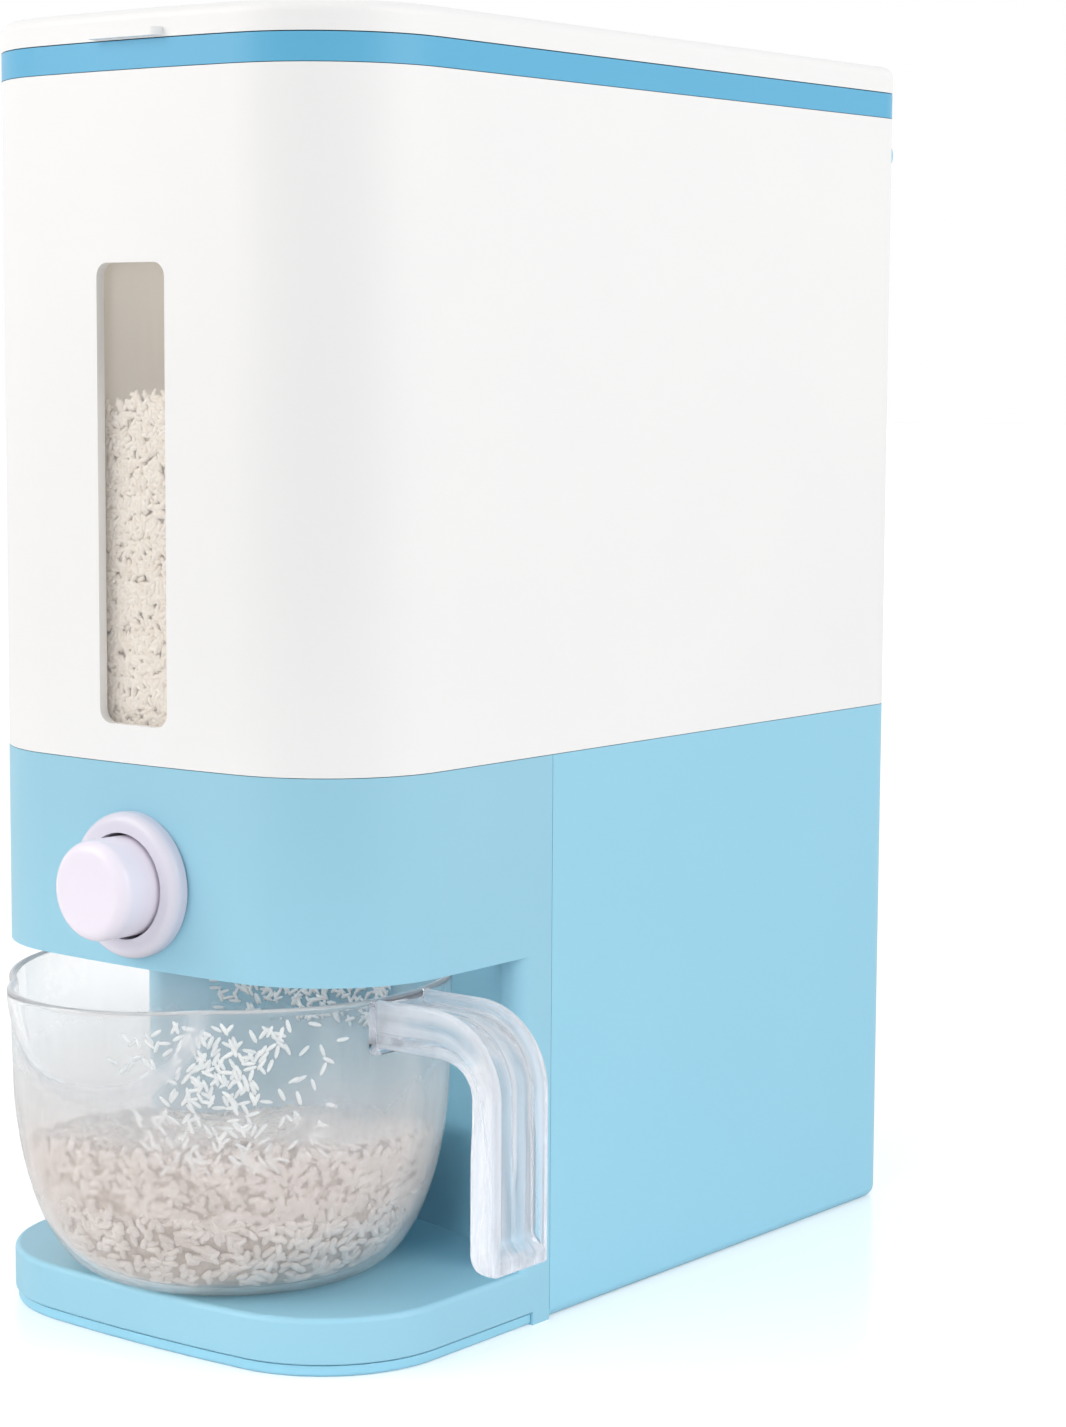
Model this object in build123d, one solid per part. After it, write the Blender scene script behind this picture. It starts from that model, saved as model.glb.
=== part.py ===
"""Counter-top rice dispenser: hopper on a push-button gate, over an open bay with a measuring cup.

Millimetres. X runs across the front, the front faces -Y, Z is up from the worktop,
and the origin lies on the worktop at the middle of the body's width and straight sides.
"""

import os
from math import acos, cos, radians, sqrt, tan

from build123d import *

os.makedirs("parts", exist_ok=True)

# ---- Body plan ----
body_width = 149.3
body_depth = 271.0          # straight part of the sides, back face to the start of the bowed front
front_bow = 5.5             # how far the middle of the front stands ahead of the sides
front_corner = 40.0
rear_corner = 11.0
wall = 2.4

# ---- Heights ----
plate_thick = 3.2           # base plate, whose underside rests on the worktop
platform_height = 16.5      # top of the platform that the cup stands on
bay_height = 91.1
hood_height = 56.8
hopper_height = 187.8
ring_height = 7.8
lid_height = 8.2
skirt_drop = 14.0           # how far the hopper's back skirt hangs over the base

# ---- Fits ----
seat_gap = 0.2              # between fixed pieces that seat on each other
slide_gap = 0.3             # between pieces that move past each other
shaft_gap = 0.05            # radial, a shaft in its hole

# ---- Bay and base ----
seam_setback = 92.2         # front housing to base shell seam, behind the middle of the front
bay_wall_radius = 94.2
bay_depth = 106.5           # deepest line of the bay wall, behind the middle of the front
bay_corner_fillet = 5.0
platform_edge = 1.6
platform_lip = 0.8          # rounding of the platform's lower edge
plate_inset = 0.8           # base plate inside the platform's outline
plate_edge = 1.2            # rounding of the base plate's lower edge
base_edge = 3.5
spigot_height = 6.0
spigot_thick = 1.6
flange_thick = 3.0

# ---- Window ----
window_width = 25.6
window_height = 126.0
window_sill = 10.6          # above the joint of hopper and base
window_corner = 4.0
window_reveal = 2.8
pane_thick = 1.5
pane_land = 2.5             # overlap of the pane behind the opening's edge

# ---- Gate and funnel ----
throat_width = 56.0
throat_depth = 8.5
throat_setback = 53.0       # middle of the throat, behind the middle of the front
throat_height = 17.0
funnel_rise = 82.0          # of the funnel floor, throat to back wall
funnel_thick = 2.0
funnel_overrun = 8.0        # funnel drawn past the walls before they trim it
shutter_thick = 2.4
shutter_margin = 8.0        # shutter beside the throat
shutter_nose = 7.0          # shutter and rails ahead of their slots
shutter_corner = 3.0
shutter_lap = 1.5           # shutter past the throat's edge when shut
rail_thick = 4.6
rail_lip = 3.4
gate_floor = 2.3
post_radius = 4.0
post_spread_x = 90.0
post_spread_y = 32.0
post_setback = 9.0          # middle of the four posts behind the throat
ear_margin = 1.0
slot_clear = 0.5            # gate floor's slot past the throat, each side
gate_screw_length = 10.0
chute_wall = 1.6
chute_taper = 3.0
chute_flange = 5.0
chute_clear_x = 1.5         # room beside the throat
chute_clear_y = 3.0         # room ahead of and behind the throat

# ---- Button ----
button_drop = 33.4          # button axis below the joint of hopper and base
knob_radius = 13.9
knob_reach = 18.2           # knob face ahead of the front panel
knob_fillet = 3.5
knob_wall = 2.2
knob_tail = 3.0             # knob behind the panel's face
socket_depth = 5.5          # rod's socket behind the knob's face
button_travel = 10.0
collar_radius = 20.35
collar_thick = 5.0
collar_bore_gap = 0.9       # ring gap that shows between knob and collar
knob_stop_gap = 1.4         # knob's tail to the barrel's end when pressed
barrel_thick = 1.6
rod_radius = 4.0
clip_radius = 7.0
clip_thick = 1.0
tongue_length = 10.0
pin_radius = 1.0
pin_inset = 0.6             # pin's ends inside the rod
clip_groove = 1.0
spring_radius = 6.6
spring_wire = 1.1
spring_turns = 4
spring_sides = 5            # flats round the wire

# ---- Lid and hinge ----
lid_edge = 3.2
lid_top_thick = 2.6
lid_rib_inset = 9.5
lid_rib_thick = 2.0
lid_rib_drop = 3.0
seal_width = 1.8
seal_height = 2.2
tab_width = 25.6
tab_reach = 3.0
tab_thick = 2.3
hinge_drop = 18.4           # hinge axis below the top of the ring
hinge_setback = 4.2         # hinge axis behind the back face
hinge_span = 131.0          # over the outer ends of both brackets
bracket_width = 23.5
ear_width = 4.0
knuckle_radius = 3.8
hinge_pin_radius = 1.5
bracket_plate = 1.8
bracket_tail = 9.0
arm_thick = 3.0

# ---- Fasteners and feet ----
screw_radius = 1.5
screw_head_radius = 3.0
screw_head_height = 2.0
boss_radius = 4.5
foot_radius = 7.0
foot_height = 1.8
foot_inset = 20.0
boss_offset = 16.0          # screw bosses further in than the feet
boss_sink = 0.9             # how far a boss sinks into the side wall

# ---- Cup ----
cup_setback = 39.4          # cup axis, behind the middle of the front
cup_rim_radius = 63.2
cup_belly_radius = 62.5
cup_belly_height = 60.0
cup_headroom = 5.6          # free height between the rim and the hood
cup_foot_radius = 38.0
cup_wall = 2.2
spout_radius = 42.0
spout_reach = 30.0          # middle of the spout's round ahead of the cup axis
handle_reach = 106.0        # outer face of the grip from the body's middle plane
handle_width = 22.8
handle_thick = 10.1
handle_root_height = 13.7
handle_bend = 23.0
handle_tip = 15.4           # grip's lower end above the platform
handle_tip_round = 5.0
handle_groove_width = 18.4
handle_groove_depth = 3.2
handle_groove_corner = 2.5
handle_groove_end = 3.6     # channel's end above the tip
handle_pad_width = 25.0
handle_pad_height = 18.0
handle_pad_thick = 2.0

# ---- Levels and lines that follow ----
back_y = body_depth / 2
side_x = body_width / 2
front_y = -body_depth / 2 - front_bow
seam_y = front_y + seam_setback
throat_y = front_y + throat_setback
cup_y = front_y + cup_setback
hood_z = platform_height + bay_height
joint_z = hood_z + hood_height
ring_z = joint_z + hopper_height
lid_z = ring_z + ring_height + slide_gap
lid_top = lid_z + lid_height
button_z = joint_z - button_drop
hinge_y = back_y + hinge_setback
hinge_z = ring_z + ring_height - hinge_drop
bay_axis_y = front_y + bay_depth - bay_wall_radius
bay_corner_y = bay_axis_y + sqrt(bay_wall_radius**2 - side_x**2)
bay_side_y = bay_corner_y + bay_corner_fillet / tan(acos(side_x / bay_wall_radius) / 2)
shutter_half = throat_width / 2 + shutter_margin
shutter_top = button_z + shutter_thick / 2
shutter_bottom = button_z - shutter_thick / 2
cup_height = bay_height - slide_gap - cup_headroom
barrel_length = knob_tail + button_travel + knob_stop_gap + barrel_thick
throat_bottom = shutter_top + slide_gap
throat_top = throat_bottom + throat_height
gate_bottom = shutter_bottom - slide_gap - gate_floor
far = 2 * (body_width + body_depth)


def block(x0, x1, y0, y1, z0, z1):
    """Box between two corners."""
    size = (x1 - x0, y1 - y0, z1 - z0)
    return Pos((x0 + x1) / 2, (y0 + y1) / 2, (z0 + z1) / 2) * Box(*size)


def outline(inset=0.0):
    """Body plan moved inwards: flat back, straight sides, bowed front, rounded corners."""
    x = side_x - inset
    back = back_y - inset
    front = -body_depth / 2 + inset
    edges = [
        ThreePointArc((-x, front), (0, front - front_bow), (x, front)),
        Line((x, front), (x, back)),
        Line((x, back), (-x, back)),
        Line((-x, back), (-x, front)),
    ]
    face = make_face(edges)
    corners = face.vertices().sort_by(Axis.Y)
    face = fillet(corners[:2], front_corner - inset)
    corners = face.vertices().sort_by(Axis.Y)
    return fillet(corners[-2:], rear_corner - min(inset, rear_corner / 2))


def prism(inset, z0, z1):
    """The body plan, inset, stood up between two levels."""
    return extrude(Pos(0, 0, z0) * outline(inset), z1 - z0)


def band(inset, thick, z0, z1):
    """Wall of the given thickness that follows the body plan."""
    return prism(inset, z0, z1) - prism(inset + thick, z0 - 1, z1 + 1)


def ahead_of(y):
    """Everything in front of a plane across the body."""
    return block(-far, far, -far, y, -far, far)


def behind(y):
    """Everything behind a plane across the body."""
    return block(-far, far, y, far, -far, far)


def rod_x(radius, x0, x1, y, z):
    """Round bar along X."""
    bar = Cylinder(radius, x1 - x0, align=(Align.CENTER, Align.CENTER, Align.MIN))
    return Pos(x0, y, z) * Rot(0, 90, 0) * bar


def post(radius, x, y, z0, z1):
    """Round post along Z."""
    return Pos(x, y, z0) * Cylinder(radius, z1 - z0, align=(Align.CENTER, Align.CENTER, Align.MIN))


def turned(radius, z0, z1):
    """Disc about the button's axis, where z counts forwards from the front panel."""
    place = Location((0, front_y, button_z), (90, 0, 0))
    return place * Pos(0, 0, z0) * Cylinder(
        radius, z1 - z0, align=(Align.CENTER, Align.CENTER, Align.MIN)
    )


def rounded_window(grow, y0, y1):
    """Upright rounded bar through the front wall, the window's size plus a border."""
    width = window_width + 2 * grow
    height = window_height + 2 * grow
    middle = joint_z + window_sill + window_height / 2
    shape = RectangleRounded(width, height, window_corner + grow)
    return Pos(0, y1, middle) * Rot(90, 0, 0) * extrude(shape, y1 - y0)


# ---- Hopper ----
def make_hopper():
    """White bin: open tube with a spigot into the base, a back skirt and a framed window."""
    inner = wall + seat_gap
    shell = band(0, wall, joint_z, ring_z)
    flange = band(wall / 2, wall / 2 + seat_gap + spigot_thick, joint_z, joint_z + flange_thick)
    spigot = band(inner, spigot_thick, joint_z - spigot_height, joint_z + flange_thick)
    skirt_x = side_x - rear_corner
    skirt = block(-skirt_x, skirt_x, back_y - wall, back_y, joint_z - skirt_drop, joint_z)
    frame_depth = window_reveal + pane_thick
    frame = band(0, frame_depth, joint_z, ring_z) & rounded_window(
        2 * pane_land, front_y - 1, front_y + 2 * frame_depth
    )
    body = shell + flange + spigot + skirt + frame
    body -= rounded_window(0, front_y - 1, front_y + 2 * frame_depth)
    rebate = rounded_window(pane_land, front_y - 1, front_y + 2 * frame_depth)
    body -= rebate & prism(window_reveal, joint_z, ring_z)
    for side in (-1, 1):
        for x in bracket_screws(side):
            body -= back_bar(screw_radius + shaft_gap, x, back_y - 2 * wall, back_y + 1)
    return body


def back_bar(radius, x, y0, y1):
    """Round bar along Y at the height of the hinge screws."""
    bar = Cylinder(radius, y1 - y0, align=(Align.CENTER, Align.CENTER, Align.MIN))
    return Pos(x, y0, bracket_screw_z()) * Rot(-90, 0, 0) * bar


def make_window_pane():
    """Clear strip that fills the rebate behind the window's frame."""
    inset = window_reveal + seat_gap / 2
    strip = band(inset, pane_thick - seat_gap / 2, joint_z, ring_z)
    depth = 2 * (window_reveal + pane_thick)
    return strip & rounded_window(pane_land - seat_gap / 2, front_y - 1, front_y + depth)


def rim_wire(half_x, y0, y1, z0, z1):
    """Four-sided rim whose front edge is at z0 and whose back edge is at z1."""
    return Wire.make_polygon(
        [(-half_x, y0, z0), (half_x, y0, z0), (half_x, y1, z1), (-half_x, y1, z1)], close=True
    )


def funnel_body(grow):
    """Solid funnel: sloped floors down to the throat, grown sideways and lowered by grow."""
    drop = grow
    front_edge = throat_y - throat_depth / 2 - grow
    back_edge = throat_y + throat_depth / 2 + grow
    half = throat_width / 2 + grow
    slope_back = funnel_rise / (back_y - back_edge)
    rest_z = joint_z + flange_thick + seat_gap + funnel_thick
    slope_front = (rest_z - throat_top) / (front_edge - front_y)
    low = rim_wire(half, front_edge, back_edge, throat_top - drop, throat_top - drop)
    high = rim_wire(
        side_x + funnel_overrun,
        front_y - funnel_overrun,
        back_y + funnel_overrun,
        rest_z - drop + funnel_overrun * slope_front,
        throat_top - drop + funnel_rise + funnel_overrun * slope_back,
    )
    neck = block(-half, half, front_edge, back_edge, throat_bottom, throat_top)
    return Solid.make_loft([low, high], ruled=True) + neck


def make_hopper_funnel():
    """Sloped floor of the hopper: four falling sides and a straight throat above the shutter."""
    cavity = funnel_body(0)
    cavity += block(
        -throat_width / 2, throat_width / 2,
        throat_y - throat_depth / 2, throat_y + throat_depth / 2,
        throat_bottom - 1, throat_top + 1,
    )
    shell = funnel_body(funnel_thick) - cavity
    shell &= prism(wall + seat_gap, throat_bottom, ring_z)
    clear = wall + 2 * seat_gap + spigot_thick
    ledge = band(0, clear + seat_gap, throat_bottom, joint_z + flange_thick + seat_gap)
    return shell - ledge


def make_top_ring():
    """Blue band round the hopper's mouth, with a spigot that drops inside the wall."""
    top = ring_z + ring_height
    ring = band(0, wall + spigot_thick, ring_z + seat_gap, top)
    spigot = band(wall + seat_gap, spigot_thick - seat_gap, ring_z - spigot_height, top)
    return ring + spigot


# ---- Base ----
def bay_plan():
    """Plan of the material behind the bay: the body plan less the round bay, corners eased."""
    front = Pos(0, bay_corner_y - far / 2) * Rectangle(far, far)
    plan = outline() - Pos(0, bay_axis_y) * Circle(bay_wall_radius) - front
    corners = [v for v in plan.vertices() if v.Y < bay_corner_y + 1 and abs(v.X) > side_x - 1]
    return fillet(corners, bay_corner_fillet)


def bay_round(grow, z0, z1):
    """Round pocket that the cup nests in, between two levels."""
    disc = Pos(0, bay_axis_y, z0) * Circle(bay_wall_radius + grow)
    return extrude(disc, z1 - z0) & prism(wall, z0, z1)


def make_bay_wall():
    """Hollowed back wall of the bay with its two side returns."""
    z0 = platform_height - wall
    z1 = hood_z + wall
    solid = extrude(Pos(0, 0, z0) * bay_plan(), z1 - z0)
    hollow = extrude(Pos(0, 0, z0 - 1) * offset(bay_plan(), -wall), z1 - z0 + 2)
    outside = behind(seam_y) - bay_round(wall, z0 - 1, z1 + 1)
    return solid - hollow - outside


def pocket_plate(z0, z1):
    """Floor or ceiling of the bay: the front of the body plan and the round pocket behind it."""
    front = prism(0, z0, z1) & ahead_of(seam_y)
    return front + bay_round(wall, z0, z1)


def gate_posts():
    """Places of the four posts that carry the gate, as (x, y)."""
    return [
        (sx * post_spread_x / 2, throat_y + post_setback + sy * post_spread_y / 2)
        for sx in (-1, 1) for sy in (-1, 1)
    ]


def platform_bosses():
    """Places of the two screws under the platform."""
    inset = foot_inset + boss_offset
    return [(sx * (side_x - inset), front_y + inset) for sx in (-1, 1)]


def base_bosses():
    """Places of the two screws at the back of the base."""
    x = side_x - wall - boss_radius + boss_sink
    return [(sx * x, back_y - foot_inset - boss_offset) for sx in (-1, 1)]


def make_front_housing():
    """Blue front moulding in one piece: hood, hollowed bay wall and platform."""
    skirt_z = plate_thick + slide_gap
    hood = band(0, wall, hood_z, joint_z - seat_gap) & ahead_of(seam_y)
    ceiling = pocket_plate(hood_z, hood_z + wall)
    body = hood + ceiling + make_platform(skirt_z) + make_bay_wall()
    for x, y in gate_posts():
        body += post(post_radius, x, y, hood_z + wall / 2, gate_bottom - seat_gap)
        body -= post(screw_radius + shaft_gap, x, y, hood_z + wall, gate_bottom + 1)
    for x, y in platform_bosses():
        body += post(boss_radius, x, y, skirt_z, platform_height - wall / 2)
        body -= post(screw_radius + shaft_gap, x, y, plate_thick - 1, platform_height - wall)
    body -= turned(collar_radius - collar_land(), -far / 8, far / 8)
    reach = chute_half_x() + seat_gap
    depth = chute_half_y() + seat_gap
    body -= block(-reach, reach, throat_y - depth, throat_y + depth, hood_z - 1, hood_z + wall + 1)
    return body


def make_platform(skirt_z):
    """Platform hollowed from below, its edges rounded along the front and the open sides."""
    slab = prism(0, skirt_z, platform_height)
    slab = fillet(slab.faces().sort_by(Axis.Z)[-1].edges(), platform_edge)
    slab = fillet(slab.faces().sort_by(Axis.Z)[0].edges(), platform_lip) & ahead_of(bay_side_y)
    sides = prism(0, 0, platform_height) & ahead_of(seam_y) & behind(bay_side_y)
    hollow = prism(wall, -1, platform_height - wall)
    pocket = bay_round(wall, platform_height - wall, platform_height)
    return slab + sides - hollow + pocket


def collar_land():
    """Width of the collar's back face on the panel round its barrel."""
    return collar_radius - barrel_radius() - seat_gap


def barrel_radius():
    """Outer radius of the collar's barrel."""
    return knob_radius + collar_bore_gap + barrel_thick


def make_base_shell():
    """Blue rear moulding: open box behind the seam, with screw bosses against its walls."""
    top = joint_z - seat_gap
    outer = prism(0, 0, top)
    outer = fillet(outer.faces().sort_by(Axis.Z)[0].edges(), base_edge)
    shell = (outer - prism(wall, -1, top + 1)) & behind(seam_y + seat_gap)
    skirt_x = side_x - rear_corner + seat_gap
    shell -= block(
        -skirt_x, skirt_x, back_y - wall - seat_gap, back_y + 1, joint_z - skirt_drop - seat_gap, joint_z
    )
    for x, y in base_bosses():
        boss = post(boss_radius, x, y, plate_thick + slide_gap, platform_height)
        shell += boss
        shell -= post(screw_radius + shaft_gap, x, y, plate_thick, platform_height - wall)
    return shell


def foot_places():
    """Names and places of the four feet."""
    x = side_x - foot_inset
    return {
        "foot_front_left": (-x, front_y + front_bow + foot_inset),
        "foot_front_right": (x, front_y + front_bow + foot_inset),
        "foot_rear_left": (-x, back_y - foot_inset),
        "foot_rear_right": (x, back_y - foot_inset),
    }


def make_base_plate():
    """Underside: a rounded plate under the platform, set inside the shell behind it."""
    front = prism(plate_inset, 0, plate_thick)
    front = fillet(front.faces().sort_by(Axis.Z)[0].edges(), plate_edge)
    front &= ahead_of(bay_side_y - seat_gap)
    rear = prism(wall + seat_gap, 0, plate_thick) & behind(bay_corner_y)
    plate = front + rear
    for x, y in foot_places().values():
        plate -= post(foot_radius + seat_gap, x, y, 0, foot_height + seat_gap)
    for x, y in platform_bosses() + base_bosses():
        plate -= post(screw_radius + seat_gap, x, y, 0, plate_thick + 1)
        plate -= post(screw_head_radius + seat_gap, x, y, 0, screw_head_height + seat_gap)
    return plate


def make_foot(x, y):
    """Rubber disc with a bevelled lower edge."""
    disc = post(foot_radius, x, y, 0, foot_height)
    return chamfer(disc.edges().sort_by(Axis.Z)[0], foot_height / 3)


def screw_up(x, y, z0, length):
    """Screw that points up, its head at z0."""
    head = post(screw_head_radius, x, y, z0, z0 + screw_head_height)
    return head + post(screw_radius, x, y, z0 + screw_head_height / 2, z0 + length)


def make_base_screws():
    """Four screws through the base plate."""
    head_z = seat_gap / 2
    length = platform_height - wall - seat_gap - head_z
    return [screw_up(x, y, head_z, length) for x, y in platform_bosses() + base_bosses()]


# ---- Gate ----
def chute_half_x():
    """Half of the chute's outer width at its top."""
    return throat_width / 2 + chute_wall + chute_clear_x


def chute_half_y():
    """Half of the chute's outer depth."""
    return throat_depth / 2 + chute_wall + chute_clear_y


def make_gate_frame():
    """Rails that hold the shutter under the throat, on four screwed ears."""
    front = throat_y - throat_depth / 2 - shutter_nose
    rear = throat_y + throat_depth / 2 + shutter_lap + button_travel + shutter_margin + 2 * rail_thick
    inner = shutter_half + slide_gap
    outer = inner + rail_thick
    top = shutter_top + slide_gap + gate_floor
    frame = block(-outer, outer, front, rear, gate_bottom, top)
    stop = rear - rail_thick
    frame -= block(-inner, inner, front - 1, stop, gate_bottom + gate_floor, shutter_top + slide_gap)
    frame -= block(-inner + rail_lip, inner - rail_lip, front - 1, stop, shutter_bottom, top + 1)
    slot_x = throat_width / 2 + slot_clear
    slot_y = throat_depth / 2 + slot_clear
    frame -= block(-slot_x, slot_x, throat_y - slot_y, throat_y + slot_y, gate_bottom - 1, shutter_top)
    for x, y in gate_posts():
        ear = post(post_radius + ear_margin, x, y, gate_bottom, gate_bottom + gate_floor)
        side = 1 if x > 0 else -1
        bridge = block(
            min(x, side * (outer - 1)), max(x, side * (outer - 1)),
            y - post_radius, y + post_radius, gate_bottom, gate_bottom + gate_floor,
        )
        frame += ear + bridge
        frame -= post(screw_radius + seat_gap, x, y, gate_bottom - 1, top + 1)
    return frame


def make_gate_screws():
    """Four screws down through the gate's ears into their posts."""
    top = gate_bottom + gate_floor
    screws = []
    for x, y in gate_posts():
        head = post(screw_head_radius, x, y, top + seat_gap / 2, top + screw_head_height)
        screws.append(head + post(screw_radius, x, y, top - gate_screw_length, top + 1))
    return screws


def make_outlet_chute():
    """Short duct that leads the grain from the gate through the bay's ceiling."""
    top = gate_bottom - seat_gap
    bottom = hood_z + seat_gap
    shapes = []
    for shrink in (0, chute_wall):
        x = chute_half_x() - shrink
        y = chute_half_y() - shrink
        high = rim_wire(x, throat_y - y, throat_y + y, top + shrink, top + shrink)
        low = rim_wire(x - chute_taper, throat_y - y, throat_y + y, bottom - shrink, bottom - shrink)
        shapes.append(Solid.make_loft([low, high], ruled=True))
    duct, bore = shapes
    ledge = hood_z + wall + seat_gap
    x = chute_half_x() + chute_flange
    y = chute_half_y() + chute_flange
    flange = block(-x, x, throat_y - y, throat_y + y, ledge, ledge + chute_wall)
    return duct + flange - bore


def make_shutter_plate():
    """Sliding plate with a tongue for the rod and a slot that meets the throat when pressed."""
    slot_y = throat_y - button_travel
    front = shutter_front()
    rear = throat_y + throat_depth / 2 + shutter_lap + shutter_margin
    plate = block(-shutter_half, shutter_half, front, rear, shutter_bottom, shutter_top)
    plate = fillet(plate.edges().filter_by(Axis.Z), shutter_corner)
    x = throat_width / 2
    y = throat_depth / 2
    plate -= block(-x, x, slot_y - y, slot_y + y, shutter_bottom - 1, shutter_top + 1)
    start = front - tongue_length
    tongue = block(-rod_radius, rod_radius, start, front + 1, shutter_bottom, shutter_top)
    pin_y = front - tongue_length / 2
    hole = post(pin_radius + shaft_gap, 0, pin_y, shutter_bottom - 1, shutter_top + 1)
    return plate + tongue - hole


def shutter_front():
    """Front edge of the shutter, where its tongue starts."""
    return throat_y - button_travel - throat_depth / 2 - shutter_nose


# ---- Button ----
def make_button_flange():
    """White collar on the front panel, with a barrel behind it whose end guides the rod."""
    bore = knob_radius + collar_bore_gap
    collar = turned(collar_radius, shaft_gap, collar_thick)
    collar = fillet(collar.edges().sort_by(Axis.Y)[0], collar_thick * 0.6)
    barrel = turned(barrel_radius(), -barrel_length, collar_thick / 2)
    body = collar + barrel
    body -= turned(bore, -barrel_length + barrel_thick, collar_thick + 1)
    return body - turned(rod_radius + shaft_gap, -barrel_length - 1, 0)


def make_button_cap():
    """White push knob: cup-shaped, with a socket for the rod inside its face."""
    knob = turned(knob_radius, -knob_tail, knob_reach)
    knob = fillet(knob.edges().sort_by(Axis.Y)[0], knob_fillet)
    knob -= turned(knob_radius - knob_wall, -knob_tail - 1, knob_reach - knob_wall)
    socket = turned(rod_radius + knob_wall / 2, knob_reach - socket_depth, knob_reach - knob_wall / 2)
    socket -= turned(rod_radius + shaft_gap, knob_reach - socket_depth - 1, knob_reach - knob_wall)
    return knob + socket


def make_push_rod():
    """Round rod from the knob to the shutter, slotted at its end for the shutter's tongue."""
    start = front_y - knob_reach + knob_wall + shaft_gap
    end = shutter_front() - seat_gap
    place = Location((0, end, button_z), (90, 0, 0))
    rod = place * Cylinder(rod_radius, end - start, align=(Align.CENTER, Align.CENTER, Align.MIN))
    slot_half = shutter_thick / 2 + shaft_gap
    rod -= block(
        -far, far, end - tongue_length - seat_gap, end + 1, button_z - slot_half, button_z + slot_half
    )
    y = shutter_front() - tongue_length / 2
    rod -= post(pin_radius + shaft_gap, 0, y, button_z - far / 8, button_z + far / 8)
    clip = clip_place()
    groove = turned(rod_radius + 1, clip, clip + clip_thick + 2 * shaft_gap)
    groove -= turned(rod_radius - clip_groove, clip - 1, clip + clip_thick + 1)
    return rod - groove


def clip_place():
    """Rear face of the retaining clip, counted forwards from the panel."""
    return -barrel_length - slide_gap - clip_thick - shaft_gap


def make_retaining_clip():
    """Split washer in the rod's groove that stops the rod behind the barrel."""
    start = clip_place() + shaft_gap
    clip = turned(clip_radius, start, start + clip_thick)
    clip -= turned(rod_radius - clip_groove + shaft_gap, start - 1, start + clip_thick + 1)
    mouth = block(-rod_radius / 2, rod_radius / 2, -far, far, button_z - far, button_z)
    return clip - mouth


def make_rod_pin():
    """Cross pin through the rod and the shutter's tongue."""
    y = shutter_front() - tongue_length / 2
    half = rod_radius - pin_inset
    return post(pin_radius, 0, y, button_z - half, button_z + half)


def make_return_spring():
    """Compression spring round the rod, between the barrel's end and the knob."""
    start = -barrel_length + barrel_thick + spring_wire / 2 + seat_gap
    end = knob_reach - socket_depth - spring_wire / 2 - seat_gap
    height = end - start
    path = Helix(pitch=height / spring_turns, height=height, radius=spring_radius)
    section = Plane(origin=path @ 0, z_dir=path % 0) * RegularPolygon(spring_wire / 2, spring_sides)
    coil = sweep(section, path=path)
    return Location((0, front_y, button_z), (90, 0, 0)) * Pos(0, 0, start) * coil


# ---- Lid and hinge ----
def make_lid():
    """White cover with a rounded rim, a locating rib, two hinge arms and a finger tab."""
    cover = prism(0, lid_z, lid_top)
    cover = fillet(cover.faces().sort_by(Axis.Z)[-1].edges(), lid_edge)
    cover -= prism(wall, lid_z - 1, lid_top - lid_top_thick)
    shoulder_z = lid_z + seal_height
    cover += band(wall / 2, wall + seal_width, shoulder_z, lid_top - lid_top_thick / 2)
    cover += band(lid_rib_inset, lid_rib_thick, lid_z - lid_rib_drop, lid_top - lid_top_thick / 2)
    x = tab_width / 2
    z = lid_z + slide_gap
    tab = block(-x, x, front_y - tab_reach, front_y + wall, z, z + tab_thick)
    tab = fillet(tab.edges().filter_by(Axis.Z).sort_by(Axis.Y)[:2], tab_reach * 0.6)
    cover += tab
    for side in (-1, 1):
        cover += make_lid_arm(side)
    return cover


def arm_span(side):
    """Left and right ends of the lid's arm on one side of the middle."""
    outer = hinge_span / 2 - ear_width - slide_gap
    inner = hinge_span / 2 - bracket_width + ear_width + slide_gap
    return (inner, outer) if side > 0 else (-outer, -inner)


def make_lid_arm(side):
    """Arm that drops behind the ring to the hinge pin, with its knuckle."""
    x0, x1 = arm_span(side)
    y1 = hinge_y + knuckle_radius - slide_gap
    y0 = y1 - arm_thick
    top = lid_top - lid_edge
    web = block(x0, x1, y0, y1, hinge_z, top)
    bridge = block(x0, x1, back_y - wall / 2, y1, top - arm_thick - 1, top)
    bridge = fillet(bridge.edges().filter_by(Axis.X).sort_by(Axis.Y)[-1], arm_thick / 2)
    web -= block(x0 - 1, x1 + 1, y1 - arm_thick / 2, y1 + 1, top - arm_thick / 2, top + 1)
    knuckle = rod_x(knuckle_radius - slide_gap, x0, x1, hinge_y, hinge_z)
    arm = web + bridge + knuckle
    return arm - rod_x(hinge_pin_radius + shaft_gap, x0 - 1, x1 + 1, hinge_y, hinge_z)


def make_lid_seal():
    """Soft ring under the lid that meets the top of the blue ring."""
    return band(wall + seat_gap, seal_width, lid_z - slide_gap / 2, lid_z + seal_height)


def bracket_span(side):
    """Left and right ends of one hinge bracket."""
    outer = hinge_span / 2
    return (outer - bracket_width, outer) if side > 0 else (-outer, bracket_width - outer)


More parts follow.
